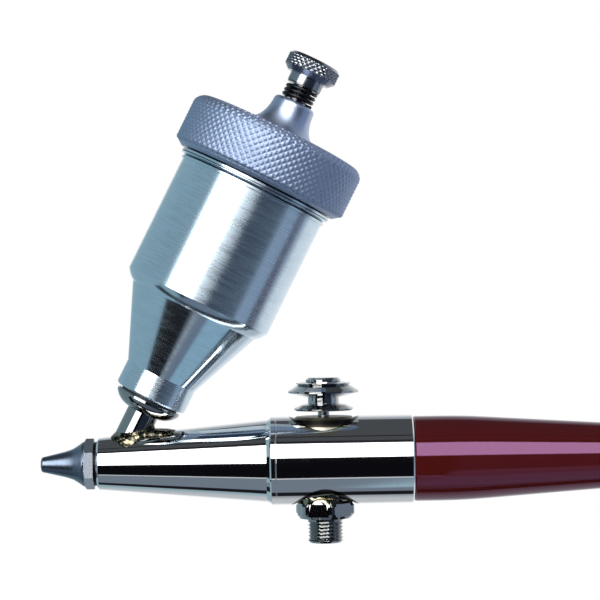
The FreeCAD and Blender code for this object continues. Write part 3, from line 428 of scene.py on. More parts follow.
# %% The finish helper
class Finish:
    """A material under construction, with its tree and its main shader."""

    def __init__(self, name):
        self.material = bpy.data.materials.new(name)
        self.material.use_nodes = True
        self.tree = self.material.node_tree
        self.shader = self.tree.nodes["Principled BSDF"]

    def set(self, **values):
        """Plain numbers and colours on the shader's own sockets, or links to them."""
        for label, value in values.items():
            plug(self.tree, value, self.shader.inputs[label.replace("_", " ")])

    def group(self, group, **values):
        """Place a shared group and give its inputs their values."""
        made = self.tree.nodes.new("ShaderNodeGroup")
        made.node_tree = group
        for label, value in values.items():
            plug(self.tree, value, made.inputs[label.replace("_", " ")])
        return made.outputs

    def bump(self, height, distance):
        """Raise the surface by `distance` metres where height is one."""
        made = self.tree.nodes.new("ShaderNodeBump")
        made.inputs["Distance"].default_value = distance
        made.inputs["Strength"].default_value = 1.0
        plug(self.tree, height, made.inputs["Height"])
        plug(self.tree, made.outputs["Normal"], self.shader.inputs["Normal"])


print("shared groups:", [group.name for group in (TURNING_MARKS, HANDLING_MARKS)])

# %% [markdown]
# ## A metal to start from
# All the metals share one recipe: a metallic Principled BSDF, whose roughness drifts with the
# smears and rises in the hairlines, and whose surface is ringed by the turning marks. Only the
# numbers differ between mirror chrome, satin aluminium and brass, so the recipe is one function.
# Fine rings spread a highlight along the axis and not round it. That is anisotropy: its tangent
# is a cross product that runs round the axis, and a quarter turn sends the highlight across it.

# %% The metal recipe
MICRON = 0.001 * MM
HAIRLINE_WEAR = 0.35
HAIRLINE_DEPTH = 0.1
QUARTER_TURN = 0.25


def axis_inputs(axis):
    """The turning-marks group's values for a lathe axis, given as a point and a direction."""
    point, direction = axis
    return {"Axis_Point": tuple(point), "Axis": tuple(direction)}


CUP_AXIS = (cup_foot, cup_up)
BARREL_AXIS = (barrel_centre, barrel_along)
UPRIGHT_AXIS = (barrel_centre, Vector((0, 0, 1)))
for label, axis in (("cup", CUP_AXIS), ("barrel", BARREL_AXIS), ("upright", UPRIGHT_AXIS)):
    print(label, "axis runs along", [round(value, 3) for value in axis[1]])


def tangent_round(finish, axis):
    """Run the shader's tangent round a lathe axis."""
    tree = finish.tree
    away = vectors(tree, "SUBTRACT", place_on_piece(tree), tuple(axis[0]))
    turn = tree.nodes.new("ShaderNodeVectorTransform")
    turn.vector_type = "VECTOR"
    turn.convert_from, turn.convert_to = "OBJECT", "WORLD"
    around = vectors(tree, "CROSS_PRODUCT", tuple(axis[1]), away)
    plug(tree, around, turn.inputs["Vector"])
    plug(tree, vectors(tree, "NORMALIZE", turn.outputs["Vector"]), finish.shader.inputs["Tangent"])
    finish.set(Anisotropic_Rotation=QUARTER_TURN)


def metal(name, colour, dull, smooth, rough, axis, ring_depth, brushed=0.0, ringed=0.15):
    """A turned metal: roughness from `smooth` to `rough`, rings `ring_depth` metres deep."""
    finish = Finish(name)
    rings = finish.group(TURNING_MARKS, **axis_inputs(axis))
    marks = finish.group(HANDLING_MARKS)
    tree = finish.tree
    worn = maths(tree, "MULTIPLY", marks["Smear"], 1 - HAIRLINE_WEAR - ringed)
    worn = maths(tree, "ADD", worn, maths(tree, "MULTIPLY", marks["Hairline"], HAIRLINE_WEAR))
    worn = maths(tree, "ADD", worn, maths(tree, "MULTIPLY", rings["Mask"], ringed))
    roughness = maths(tree, "MULTIPLY_ADD", worn, rough - smooth, smooth)
    finish.set(Metallic=1.0, Roughness=roughness, Anisotropic=brushed)
    finish.colour = blended(tree, worn, colour + (1.0,), dull + (1.0,))
    finish.set(Base_Color=finish.colour)
    scratched = maths(tree, "MULTIPLY", marks["Hairline"], HAIRLINE_DEPTH)
    height = maths(tree, "SUBTRACT", rings["Height"], scratched)
    finish.bump(height, ring_depth)
    if brushed:
        tangent_round(finish, axis)
    finish.height, finish.roughness = height, roughness
    return finish


# %% [markdown]
# ## Chrome
# Barrel, nose, collar, button and inlet are plated and polished to a mirror. Chrome has almost no
# colour of its own, a very low roughness, and shows the studio round it in hard bands. The neck,
# inlet and button get darker copies of it, which are painted darker reflections. The barrel's
# material is a second one: round the trigger well the bevel is painted black, a painted shade,
# with pale gold low down, and it is olive inside the well and pale gold at the inlet's seat below.
# Masks find these places by their distance from the trigger's axis and by their height. A fine
# groove near the front is part of the bump.

# %% Chrome finishes
CHROME = (0.80, 0.81, 0.81)
CHROME_DULL = (0.70, 0.71, 0.71)
PALE_GOLD = (0.78, 0.72, 0.52, 1.0)
WELL_OLIVE = (0.10, 0.095, 0.065, 1.0)
# Painted shade on the trigger well's bevel.
BEVEL_PAINTED_SHADE = (0.05, 0.05, 0.045, 1.0)
CHROME_ROUGHNESS = (0.03, 0.09)
CHROME_RINGS = 0.3 * MICRON
BEVEL_RADIUS = 6.35 * MM
WELL_RADIUS = 5.7 * MM
GOLD_BELOW = (6.2 * MM, 6.5 * MM)
GROOVE_FROM_FRONT = 5.1 * MM
GROOVE_EDGE = (0.05 * MM, 0.12 * MM)
GROOVE_IN_RINGS = 150.0


def chrome(name, axis, tone=1.0, rings=CHROME_RINGS):
    """Mirror plating; a tone below one darkens it, which paints in darker reflections."""
    bright, dull = (tuple(value * tone for value in colour) for colour in (CHROME, CHROME_DULL))
    return metal(name, bright, dull, *CHROME_ROUGHNESS, axis, rings)


def barrel_chrome():
    """Mirror chrome with black painted shade and pale gold round the trigger well, grooved near the
    front.
    """
    finish = chrome("chrome barrel", BARREL_AXIS)
    tree = finish.tree
    apart = tree.nodes.new("ShaderNodeSeparateXYZ")
    plug(tree, place_on_piece(tree), apart.inputs[0])
    across = vectors(tree, "MULTIPLY", place_on_piece(tree), (1.0, 1.0, 0.0))
    distance = vectors(tree, "LENGTH", across)
    on_bevel = maths(tree, "LESS_THAN", distance, BEVEL_RADIUS)
    in_well = maths(tree, "LESS_THAN", distance, WELL_RADIUS)
    above_axis = maths(tree, "SUBTRACT", apart.outputs["Z"], barrel_centre.z)
    on_top = maths(tree, "GREATER_THAN", above_axis, 0.0)
    low_down = steps_between(tree, above_axis, GOLD_BELOW[1], GOLD_BELOW[0])
    # Painted shade: the bevel is black, except low down on top, where it is pale gold.
    bevel = blended(tree, maths(tree, "MULTIPLY", on_top, low_down), BEVEL_PAINTED_SHADE, PALE_GOLD)
    seat = blended(tree, on_top, PALE_GOLD, WELL_OLIVE)
    outside = blended(tree, on_bevel, finish.colour, bevel)
    finish.set(Base_Color=blended(tree, in_well, outside, seat))
    groove_place = barrel_low.x + GROOVE_FROM_FRONT
    off = maths(tree, "ABSOLUTE", maths(tree, "SUBTRACT", apart.outputs["X"], groove_place))
    groove = maths(tree, "SUBTRACT", 1.0, steps_between(tree, off, *GROOVE_EDGE))
    deep = maths(tree, "MULTIPLY", groove, GROOVE_IN_RINGS)
    finish.bump(maths(tree, "SUBTRACT", finish.height, deep), CHROME_RINGS)
    return finish


chrome_on_barrel = chrome("chrome nose", BARREL_AXIS).material
chrome_barrel = barrel_chrome().material
# Neck, inlet and button: darker copies of chrome, painted darker reflections of the dark things near
# them.
chrome_on_cup_axis = chrome("chrome neck", CUP_AXIS, 0.42).material
chrome_upright = chrome("chrome inlet", UPRIGHT_AXIS, 0.45).material
chrome_button = chrome("chrome button", UPRIGHT_AXIS, 0.62, 6 * MICRON).material
chromes = (chrome_on_barrel, chrome_barrel, chrome_on_cup_axis, chrome_upright, chrome_button)
print("chrome finishes:", [made.name for made in chromes])

# %% [markdown]
# ## Satin aluminium
# The cup is turned from aluminium with a slightly blue cast, and left satin. Its highlight is
# drawn out along the cup by the turning marks, and a few rough specks break it up. The cone has
# finer marks than the wall above it, and thin dark bands are painted shade in the rim's grooves,
# just under the lid and above the bead. The heights of rim, wall and collar are read from the
# outline, so the masks stay where the shape changes. CLOSE and SAME say how near two measures in
# millimetres are when they count as one. The lid is a little rougher than the cup, because its
# knurl was rolled in.

# %% Aluminium finishes
ALUMINIUM = (0.60, 0.71, 0.80)
ALUMINIUM_DULL = (0.52, 0.63, 0.72)
# Painted shade for the rim's grooves and the gap under the lid.
RIM_PAINTED_SHADE = (0.015, 0.02, 0.03, 1.0)
CLOSE = 0.01
SAME = 0.001
UPPER_HALF = 30
COLLAR_LEAST_RADIUS = 5
COLLAR_LEAST_HEIGHT = 2
cup_radius = max(radius for radius, height in cup_outline)
rim_low = min(height for radius, height in cup_outline if radius > cup_radius - SAME)
wall_radius = max(radius for radius, height in cup_outline if height < rim_low - 0.2)
wall_heights = [height for radius, height in cup_outline if abs(radius - wall_radius) < CLOSE]
shoulder = max(height for height in wall_heights if height < UPPER_HALF)
outer_heights = [height for radius, height in cup_outline if radius > COLLAR_LEAST_RADIUS]
collar_top = min(height for height in outer_heights if height > COLLAR_LEAST_HEIGHT)
print("cup's collar ends at", collar_top, "mm, its cone at", shoulder, "and its wall at", rim_low)
SHADE_BANDS_ABOVE_RIM_FOOT = ((0.68, 1.3), (0.15, 0.3), (-0.45, -0.28))
CUP_ROUGHNESS = (0.22, 0.36)
CUP_BRUSHED = 0.92
CUP_RINGED = 0.5
CONE_SHARE = 0.5
SPECK_CUT = (0.82, 0.84)
SPECKS = 1300.0


def cup_aluminium():
    """Satin aluminium with a few rough specks, a finer cone, and painted shade in the rim's grooves.
    """
    finish = metal(
        "satin cup", ALUMINIUM, ALUMINIUM_DULL, *CUP_ROUGHNESS,
        CUP_AXIS, MICRON, CUP_BRUSHED, CUP_RINGED,
    )
    tree = finish.tree
    away = vectors(tree, "SUBTRACT", place_on_piece(tree), tuple(cup_foot))
    along = vectors(tree, "DOT_PRODUCT", away, tuple(cup_up))
    below_wall = steps_between(tree, along, (shoulder + 0.2) * MM, (shoulder - 0.2) * MM)
    above_collar = steps_between(tree, along, (collar_top - 0.1) * MM, (collar_top + 0.1) * MM)
    on_cone = maths(tree, "MULTIPLY", below_wall, above_collar)
    finer = maths(tree, "MULTIPLY_ADD", on_cone, CONE_SHARE - 1, 1.0)
    # Painted shade: dark bands in the rim's grooves, just under the lid and above the bead.
    shade_band = 0.0
    for low, high in SHADE_BANDS_ABOVE_RIM_FOOT:
        above = maths(tree, "GREATER_THAN", along, (rim_low + low) * MM)
        below = maths(tree, "LESS_THAN", along, (rim_low + high) * MM)
        shade_band = maths(tree, "MAXIMUM", shade_band, maths(tree, "MULTIPLY", above, below))
    finish.set(Base_Color=blended(tree, shade_band, finish.colour, RIM_PAINTED_SHADE))
    specks = steps_between(tree, cloudy(tree, place_on_piece(tree), SPECKS, 1.0), *SPECK_CUT)
    roughness = maths(tree, "MULTIPLY", finish.roughness, finer)
    finish.set(Roughness=maths(tree, "MAXIMUM", roughness, specks))
    return finish


satin_cup = cup_aluminium().material
satin_lid = metal(
    "satin lid", (0.36, 0.44, 0.60), (0.28, 0.35, 0.50), 0.50, 0.66, CUP_AXIS, 2 * MICRON, 0.3,
).material
satin_hub = metal(
    "satin hub", (0.46, 0.53, 0.68), (0.36, 0.42, 0.58), 0.36, 0.50, CUP_AXIS, 3 * MICRON, 0.5, 0.3,
).material
print("aluminium finishes:", [made.name for made in (satin_cup, satin_lid, satin_hub)])

# %% [markdown]
# ## Darker metals
# The nozzle is blue-grey hardened steel, and its hex is painted paler, a painted highlight for
# the light that its flats reflect, and a little rougher. The hex lies just ahead of a tail that
# sits inside the nose, so its front is measured from the node's hidden end. The other dark metals
# need no masks, so a table holds them: the insert is a harder steel, the knob darkened nickel, the
# rod stainless, painted dark as shade inside the spring, and the springs black oxide steel. Brass
# shows inside, where the plating doesn't reach.

# %% Steel, nickel and brass finishes
NOZZLE_TAIL = 3.0 * MM
NOZZLE_HEX = 1.7 * MM
# Painted highlight on the hex's flats.
HEX_PAINTED_HIGHLIGHT = (0.43, 0.47, 0.53, 1.0)
HEX_ROUGHER = 0.15
hex_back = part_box("nozzle_cap")[1].x - NOZZLE_TAIL
hex_front = hex_back - NOZZLE_HEX


def nozzle_metal():
    """Dark hardened steel, with the hex painted paler as a painted highlight."""
    finish = metal(
        "nozzle steel", (0.20, 0.245, 0.32), (0.15, 0.18, 0.24), 0.30, 0.46,
        BARREL_AXIS, 3 * MICRON, 0.6,
    )
    tree = finish.tree
    along = vectors(tree, "DOT_PRODUCT", place_on_piece(tree), (1.0, 0.0, 0.0))
    on_hex = maths(tree, "GREATER_THAN", along, hex_front)
    # Painted highlight: the hex is paler and a little rougher.
    finish.set(Base_Color=blended(tree, on_hex, finish.colour, HEX_PAINTED_HIGHLIGHT))
    finish.set(Roughness=maths(tree, "MULTIPLY_ADD", on_hex, HEX_ROUGHER, finish.roughness))
    return finish


PLAIN_METALS = (
    # name, colour, worn colour, smoothest, roughest, lathe axis, depth of the rings, brushed
    ("black washer", (0.02, 0.02, 0.022), (0.01, 0.01, 0.01), 0.40, 0.60, BARREL_AXIS, 0.0),
    ("hard insert", (0.20, 0.21, 0.23), (0.12, 0.12, 0.13), 0.30, 0.45, BARREL_AXIS, 2 * MICRON),
    ("dark nickel", (0.33, 0.34, 0.37), (0.20, 0.21, 0.24), 0.12, 0.28, CUP_AXIS, 2 * MICRON),
    # The rod's colour is painted dark: painted shade inside the spring.
    ("stainless rod painted dark", (0.16, 0.16, 0.17), (0.09, 0.09, 0.10), 0.15, 0.30, CUP_AXIS, 2 * MICRON, 0.5),
    ("turned brass", (0.72, 0.55, 0.26), (0.58, 0.43, 0.20), 0.20, 0.38, BARREL_AXIS, 3 * MICRON),
    (
        "black spring steel", (0.035, 0.035, 0.04), (0.02, 0.02, 0.022), 0.22, 0.42,
        CUP_AXIS, 2 * MICRON,
    ),
)
nozzle_steel = nozzle_metal().material
plain_metals = {row[0]: metal(*row).material for row in PLAIN_METALS}
print("dark metals:", [nozzle_steel.name] + list(plain_metals))

# %% [markdown]
# ## Braze and the olive bush
# The braze between neck and nose is a yellowish alloy whose surface froze in small waves, and it
# is dark in random patches. The bush in the trigger well is olive on top; black round its head and
# brown under that are painted shade on its side, and it is pale gold low down. The colour changes
# with height only, so four colours are laid over one another by their height over the barrel's
# axis.

# %% Braze and bush finishes
BRAZE_GOLD = (0.30, 0.26, 0.17, 1.0)
BRAZE_DARK_PATCH = (0.03, 0.03, 0.026, 1.0)
BRAZE_WAVES = 1400.0
BRAZE_DARK_PATCHES = 750.0
DARK_PATCH_EDGES = (0.40, 0.54)
BRAZE_BUMP = 200 * MICRON
# Painted shade on the bush's side.
BUSH_SIDE_SHADE = (0.006, 0.006, 0.004, 1.0)
BUSH_LOW_SHADE = (0.05, 0.042, 0.03, 1.0)
BUSH_GOLD = (0.86, 0.82, 0.66, 1.0)
OLIVE_ABOVE = (7.3 * MM, 7.7 * MM)
BROWN_BELOW = (6.8 * MM, 6.4 * MM)
GOLD_AT_FOOT = (6.25 * MM, 6.1 * MM)


def braze_alloy():
    """Yellowish frozen metal, wavy and dark in random patches."""
    finish = Finish("braze alloy")
    tree = finish.tree
    waves = cloudy(tree, place_on_piece(tree), BRAZE_WAVES, 1.0)
    dark_patch = steps_between(tree, cloudy(tree, place_on_piece(tree), BRAZE_DARK_PATCHES), *DARK_PATCH_EDGES)
    finish.set(Metallic=1.0, Base_Color=blended(tree, dark_patch, BRAZE_GOLD, BRAZE_DARK_PATCH))
    finish.set(Roughness=maths(tree, "MULTIPLY_ADD", waves, 0.16, 0.10))
    finish.bump(waves, BRAZE_BUMP)
    return finish


def bush_nickel():
    """Olive nickel on top, then black and brown painted shade, and pale gold further down."""
    finish = metal(
        "shaded olive bush", (0.10, 0.095, 0.068), (0.07, 0.066, 0.045), 0.30, 0.50,
        UPRIGHT_AXIS, 2 * MICRON,
    )
    tree = finish.tree
    away = vectors(tree, "SUBTRACT", place_on_piece(tree), tuple(barrel_centre))
    height = vectors(tree, "DOT_PRODUCT", away, (0.0, 0.0, 1.0))
    olive = steps_between(tree, height, *OLIVE_ABOVE)
    brown = steps_between(tree, height, *BROWN_BELOW)
    gold = steps_between(tree, height, *GOLD_AT_FOOT)
    # Painted shade: black round the bush's head and brown under it.
    colour = blended(tree, olive, BUSH_SIDE_SHADE, finish.colour)
    colour = blended(tree, brown, colour, BUSH_LOW_SHADE)
    colour = blended(tree, gold, colour, BUSH_GOLD)
    finish.set(Base_Color=colour, Metallic=0.8)
    return finish


braze = braze_alloy().material
bush_shaded = bush_nickel().material
print("made", braze.name, "and", bush_shaded.name)

# %% [markdown]
# ## Rubber and lacquer
# Seals and gaskets are matt black rubber with a fine grain. The handle is painted dark red and
# polished: a deep base colour under a clear, glossy layer. The paint isn't perfectly level, and
# its slight orange peel bends the reflections a little.

# %% Rubber and lacquer finishes
RUBBER_TONES = ((0.012, 0.012, 0.013, 1.0), (0.03, 0.03, 0.032, 1.0))
RUBBER_GRAIN = 9000.0
LACQUER_REDS = ((0.045, 0.0048, 0.0040, 1.0), (0.055, 0.0056, 0.0048, 1.0))
ORANGE_PEEL = 500.0


def rubber_black():
    """Matt black rubber with a fine grain."""
    finish = Finish("black rubber")
    grain = cloudy(finish.tree, place_on_piece(finish.tree), RUBBER_GRAIN, 4.0)
    finish.set(Base_Color=blended(finish.tree, grain, *RUBBER_TONES))
    finish.set(Roughness=maths(finish.tree, "MULTIPLY_ADD", grain, 0.2, 0.5))
    finish.bump(grain, 10 * MICRON)
    return finish


def lacquer_red():
    """Deep red paint under a glossy layer that is not quite level."""
    finish = Finish("red lacquer")
    tree = finish.tree
    marks = finish.group(HANDLING_MARKS, Hairlines=500.0, Smears=60.0)
    colour = blended(tree, marks["Smear"], *LACQUER_REDS)
    finish.set(Base_Color=colour, IOR=1.65, Specular_Tint=(1.0, 0.50, 1.0, 1.0))
    finish.set(Roughness=maths(tree, "MULTIPLY_ADD", marks["Hairline"], 0.1, 0.03))
    finish.bump(cloudy(tree, place_on_piece(tree), ORANGE_PEEL, 1.0), 4 * MICRON)
    return finish


rubber = rubber_black().material
lacquer = lacquer_red().material
print("made", rubber.name, "and", lacquer.name)

# %% [markdown]
# ## Dressing the frame
# Each CAD node names one of the record's material slots, so most nodes get their finish from a
# short table of slots. Chrome depends on the axis that the piece was turned about, and a few
# nodes get a finish of their own. A CAD node keeps its mesh; only its slot's material changes.

# %% Assign finishes to the CAD nodes
FINISH_OF_SLOT = {
    "chrome": chrome_on_barrel,
    "satin_aluminium": satin_cup,
    "dark_nickel": plain_metals["dark nickel"],
    "nozzle_steel": nozzle_steel,
    "hard_insert": plain_metals["hard insert"],
    "stainless_rod": plain_metals["stainless rod painted dark"],
    "black_spring_steel": plain_metals["black spring steel"],
    "brass": plain_metals["turned brass"],
    "braze_metal": braze,
    "black_rubber": rubber,
    "red_lacquer": lacquer,
}
FINISH_OF_NODE = {
    "barrel": chrome_barrel,
    "cup_neck": chrome_on_cup_axis,
    "lid_hub": satin_hub,
    "trigger_stem": chrome_upright,
    "trigger_button": chrome_button,
    "trigger_bush": bush_shaded,
    "nozzle_washer": plain_metals["black washer"],
}
for name, node in nodes.items():
    slot = node.material_slots[0].material.name
    node.material_slots[0].material = FINISH_OF_NODE.get(name, FINISH_OF_SLOT[slot])
print("dressed", len(nodes), "nodes")

# %% [markdown]
# ## Diamond knurl
# A knurl is rolled in by two wheels whose ridges slant opposite ways, so it is two sets of
# slanted grooves that leave rows of small pyramids. In each set, a point's distance to the
# nearest groove line is how far its slanted coordinate is from a whole number. The lower of the
# two distances is the pyramid's height, and cutting it off at the top gives the pyramids their
# small bright flats.

# %% Relief functions
def knurl(teeth, pitch, depth, flat=0.8):
    """Diamond knurl: `teeth` round the axis, `pitch` millimetres along the outline."""

    def relief(angle, run):
        turns = angle * teeth / (2 * np.pi)
        near = []
        for slant in (turns + run / pitch, turns - run / pitch):
            near.append(np.abs(slant - np.round(slant)) * 2)
        return depth * (1 - np.minimum(np.minimum(*near) / flat, 1))

    return relief


def thread(pitch, depth):
    """A V thread that climbs one pitch with each turn."""

    def relief(angle, run):
        climb = run / pitch - angle / (2 * np.pi)
        return depth * (1 - np.abs(climb - np.floor(climb) - 0.5) * 2)

    return relief


def added(piece, body, slot, material, *stands_for):
    """Finish a new piece: its material, the body it rides on and the node it stands for."""
    piece.data.materials.append(material)
    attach(piece, body)
    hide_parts(*stands_for)
    return piece


print("a 1 mm thread 0.5 mm deep is", float(thread(1.0, 0.5)(0.0, 0.25)), "mm deep a quarter turn on")

# %% [markdown]
# ## The lid
# The lid screws over the cup's rim. Its knurl starts above a smooth chamfer at the bottom, covers
# the side and rolls over the rounded top edge. The CAD outline already has all of that but the
# knurl, so the relief is pressed only into the runs near the greatest radius. Eight steps to a
# tooth are enough to keep each pyramid's point.

# %% Knurled lid
lid_radius = max(radius for radius, height in lid_outline)
lid_low = min(height for radius, height in lid_outline)
lid_high = max(height for radius, height in lid_outline)
LID_KNURL_DEPTH = 0.2
LID_TEETH = 80
LID_CHAMFER = 0.55
LID_SIDE = 1.2
LID_ROUNDED_SIDE = 1.3
STEPS_PER_TOOTH = 8
lid_pitch = 2 * math.pi * lid_radius / LID_TEETH
knurl_low = lid_low + LID_CHAMFER


def split_at(outline, height, least_radius):
    """The outline with a corner at that height on each outer run, so that relief can start there."""
    result = []
    for start, end in zip(outline, outline[1:] + outline[:1]):
        result.append(start)
        passes = min(start[1], end[1]) < height < max(start[1], end[1])
        if passes and min(start[0], end[0]) >= least_radius:
            share = (height - start[1]) / (end[1] - start[1])
            result.append((start[0] + (end[0] - start[0]) * share, height))
    return result


def on_lid_knurl(radius, height):
    """Whether a run of the lid's outline carries the knurl."""
    return radius > lid_radius - LID_ROUNDED_SIDE and knurl_low < height < lid_high - 2 * CLOSE


lid_corners = split_at(lid_outline, knurl_low, lid_radius - LID_SIDE)
lid_rows = refined(lid_corners, lid_pitch / STEPS_PER_TOOTH, on_lid_knurl)
lid_knurl = knurl(LID_TEETH, lid_pitch, LID_KNURL_DEPTH)
lid = turned("knurled_lid", lid_rows, LID_TEETH * STEPS_PER_TOOTH, cup_place, lid_knurl)
added(lid, "lid_assembly", "satin_aluminium", satin_lid, "lid")

# %% [markdown]
# ## The cup
# The cup's rim is thicker than its wall and carries the lid's thread; it shows when the lid is
# off. The thread is pressed into the rim's outside. A fine groove, a deeper one just under the
# lid and a small bead below the rim ring the part that shows, and the rest of the cup follows
# its outline. Each groove is given as its height above the rim's lower edge, half width, depth.
# The cup's corners are shallow, so it takes a small crease angle to keep them crisp.

# %% Threaded cup
CUP_COLUMNS = 256
CUP_CREASE = 10
STEPS_PER_PITCH = 12
RIM_THREAD_PITCH = 1.27
RIM_THREAD_DEPTH = 0.45
RIM_LANDING = 1.2
RIM_GROOVES = ((0.22, 0.08, 0.16), (0.84, 0.17, 0.55))
BEAD_RISE = 0.3
BEAD_BELOW_RIM = (1.05, 0.45)
BEAD_SLOPE = 0.08
GROOVE_SLOPE = 0.02
thread_low = rim_low + RIM_LANDING


def rises_at(start, end, radius):
    """Whether a run of the outline goes straight up at that radius."""
    return abs(start[0] - radius) < CLOSE and abs(end[0] - radius) < CLOSE and end[1] > start[1]


def ring(radius, other_radius, low, high, slope):
    """Four corners of a bead or groove that steps from one radius to the other and back."""
    return [(radius, low), (other_radius, low + slope), (other_radius, high - slope), (radius, high)]


def with_rim_details(outline):
    """Two fine grooves on the rim's visible part and a small bead on the wall under it."""
    result = []
    for start, end in zip(outline, outline[1:] + outline[:1]):
        result.append(start)
        if rises_at(start, end, wall_radius):
            low, high = (rim_low - below for below in BEAD_BELOW_RIM)
            result += ring(wall_radius, wall_radius + BEAD_RISE, low, high, BEAD_SLOPE)
        if rises_at(start, end, cup_radius):
            for above, half, depth in RIM_GROOVES:
                low, high = rim_low + above - half, rim_low + above + half
                result += ring(cup_radius, cup_radius - depth, low, high, GROOVE_SLOPE)
    return result


def on_rim_thread(radius, height):
    """Whether a run of the cup's outline carries the thread."""
    return radius > cup_radius - SAME and height > thread_low


cup_corners = split_at(with_rim_details(cup_outline), thread_low, cup_radius - CLOSE)
cup_rows = refined(cup_corners, RIM_THREAD_PITCH / STEPS_PER_PITCH, on_rim_thread)
rim_thread = thread(RIM_THREAD_PITCH, RIM_THREAD_DEPTH)
cup = turned("turned_cup", cup_rows, CUP_COLUMNS, cup_place, rim_thread, crease=CUP_CREASE)
added(cup, "gun", "satin_aluminium", satin_cup, "cup")

# %% [markdown]
# ## The lid's hub
# The hub in the middle of the lid rises in a hollow curve, like the foot of a goblet. The CAD
# outline has it in straight runs. Here the runs between the hub's base and its top are replaced
# by one Bezier curve that starts flat along the lid and ends upright.

# %% Flared hub
HUB_COLUMNS = 128
HUB_FLARE_RISE = 4.5
HUB_BEND = (0.2, 0.9)


def curved_between(outline, low, high, bend, count=20):
    """The outline with its runs from `low` to `high` replaced by a curve pulled toward `bend`."""
    first = outline.index(low)
    turned_round = outline[first:] + outline[:first]
    kept = turned_round[turned_round.index(high):]
    curve = []
    for step in range(count):
        part = step / count
        weights = ((1 - part) ** 2, 2 * part * (1 - part), part ** 2)
        pulls = list(zip(weights, (low, bend, high)))
        curve.append(tuple(sum(weight * corner[axis] for weight, corner in pulls) for axis in (0, 1)))
    return curve + kept


hub_outline = outline_of("lid_hub", cup_place)
above_lid = [point for point in hub_outline if point[1] > lid_high - CLOSE]
hub_base = max(above_lid, key=lambda point: point[0])
hub_tops = [point for point in hub_outline if point[1] > hub_base[1] + HUB_FLARE_RISE]
outer_tops = [point for point in hub_tops if point[0] > max(hub_tops)[0] - 5 * CLOSE]
hub_top = min(outer_tops, key=lambda point: point[1])
bend = (hub_top[0] + HUB_BEND[0], hub_base[1] + HUB_BEND[1])
hub_curve = curved_between(hub_outline, hub_base, hub_top, bend)
hub_rows = [(radius, height, 0.0) for radius, height in hub_curve]
print("hub from", hub_base, "to", hub_top)
hub = turned("flared_hub", hub_rows, HUB_COLUMNS, cup_place)
added(hub, "lid_assembly", "satin_aluminium", satin_hub, "lid_hub")

# %% [markdown]
# ## The metering knob
# The small knob has a coarse knurl on its side only. Its top is flat with a broken edge. The
# same two functions make it as made the lid, with fewer and deeper teeth.

# %% Knurled knob
knob_radius = max(radius for radius, height in knob_outline)
KNOB_TEETH = 32
KNOB_KNURL_DEPTH = 0.24
KNOB_FLAT = 0.75
knob_pitch = 2 * math.pi * knob_radius / KNOB_TEETH


def on_knob_knurl(radius, height):
    """Whether a run of the knob's outline carries the knurl."""
    return radius > knob_radius - 2 * CLOSE


knob_rows = refined(knob_outline, knob_pitch / STEPS_PER_TOOTH, on_knob_knurl)
knob_knurl = knurl(KNOB_TEETH, knob_pitch, KNOB_KNURL_DEPTH, KNOB_FLAT)
knob = turned("knurled_knob", knob_rows, KNOB_TEETH * STEPS_PER_TOOTH, cup_place, knob_knurl)
added(knob, "metering_screw", "dark_nickel", plain_metals["dark nickel"], "metering_knob")

# %% [markdown]
# ## The air inlet
# The valve's hex and the threaded stub under it are one piece. Its outline is read on the side
# where the hex's corner lies. A hexagon then limits the radius, but only over the hex's own
# height, which gives the six flats with a curved chamfer above and below each. The stub's
# thread is V shaped and stops short of the hex and of the chamfered end.

# %% Hex and threaded stub
HEX_ACROSS = 9.525
HEX_CHAMFER = 0.9
STUB_PITCH = 0.635
STUB_DEPTH = 0.36
STUB_LEAD = 0.35
STUB_RELIEF = 0.5
INLET_COLUMNS = 360
INLET_CREASE = 12
FEWEST_SEAM_POINTS = 10
NO_LIMIT = 100.0


def turned_by(degrees):
    """The trigger's place, turned about its own axis."""
    return trigger_place @ Matrix.Rotation(math.radians(degrees), 4, "Z")


def shows_seam(degrees):
    """Whether the valve's outline can be read at that turn."""
    return len(seam_points("valve_body", turned_by(degrees))) > FEWEST_SEAM_POINTS


valve_turn = next(degrees for degrees in range(60) if shows_seam(degrees))
valve_place = turned_by(valve_turn)
valve_outline = outline_of("valve_body", valve_place)
hex_corner = max(radius for radius, height in valve_outline)
hex_heights = [height for radius, height in valve_outline if radius > hex_corner - HEX_CHAMFER]
hex_low, hex_high = min(hex_heights), max(hex_heights)
stub_end = min(height for radius, height in valve_outline)
stub_radius = max(radius for radius, height in valve_outline if height < stub_end + CLOSE)
print("valve seam at", valve_turn, "degrees, hex from", hex_low, "to", hex_high, "mm")


def hex_only(angle, height):
    """Six flats over the hex's height and no limit elsewhere."""
    over_hex = (height > hex_low - SAME) & (height < hex_high + SAME)
    return np.where(over_hex, hex_limit(HEX_ACROSS, angle), NO_LIMIT)


def chamfered(outline, corner, lead):
    """The outline with its corner at that point cut off, so that the thread has a lead-in."""
    result = []
    for point in outline:
        if math.dist(point, corner) < LEVEL_SLACK:
            result += [(point[0] - lead, point[1]), (point[0], point[1] + lead)]
        else:
            result.append(point)
    return result


def on_stub_thread(radius, height):
    """Whether a run of the valve's outline carries the thread."""
    return abs(radius - stub_radius) < CLOSE and height < hex_low - STUB_RELIEF


valve_corners = chamfered(valve_outline, (stub_radius, stub_end), STUB_LEAD)
valve_corners = split_at(valve_corners, hex_low - STUB_RELIEF, stub_radius - CLOSE)
valve_rows = refined(valve_corners, STUB_PITCH / STEPS_PER_PITCH, on_stub_thread)
stub_thread = thread(STUB_PITCH, STUB_DEPTH)
inlet = turned(
    "threaded_inlet", valve_rows, INLET_COLUMNS, valve_place, stub_thread, hex_only, INLET_CREASE,
)
added(inlet, "gun", "chrome", chrome_upright, "valve_body")

# %% [markdown]
# ## The springs
# A coil spring shortens when its knob or plunger moves, so it can't simply ride on one body. Its
# wire is a tube along a helix, wound between the CAD spring's own ends, and the coil is left at
# rest, on no body.

# %% Coil springs
STEPS_PER_COIL = 48
WIRE_SIDES = 14
WIRE_CREASE = 60


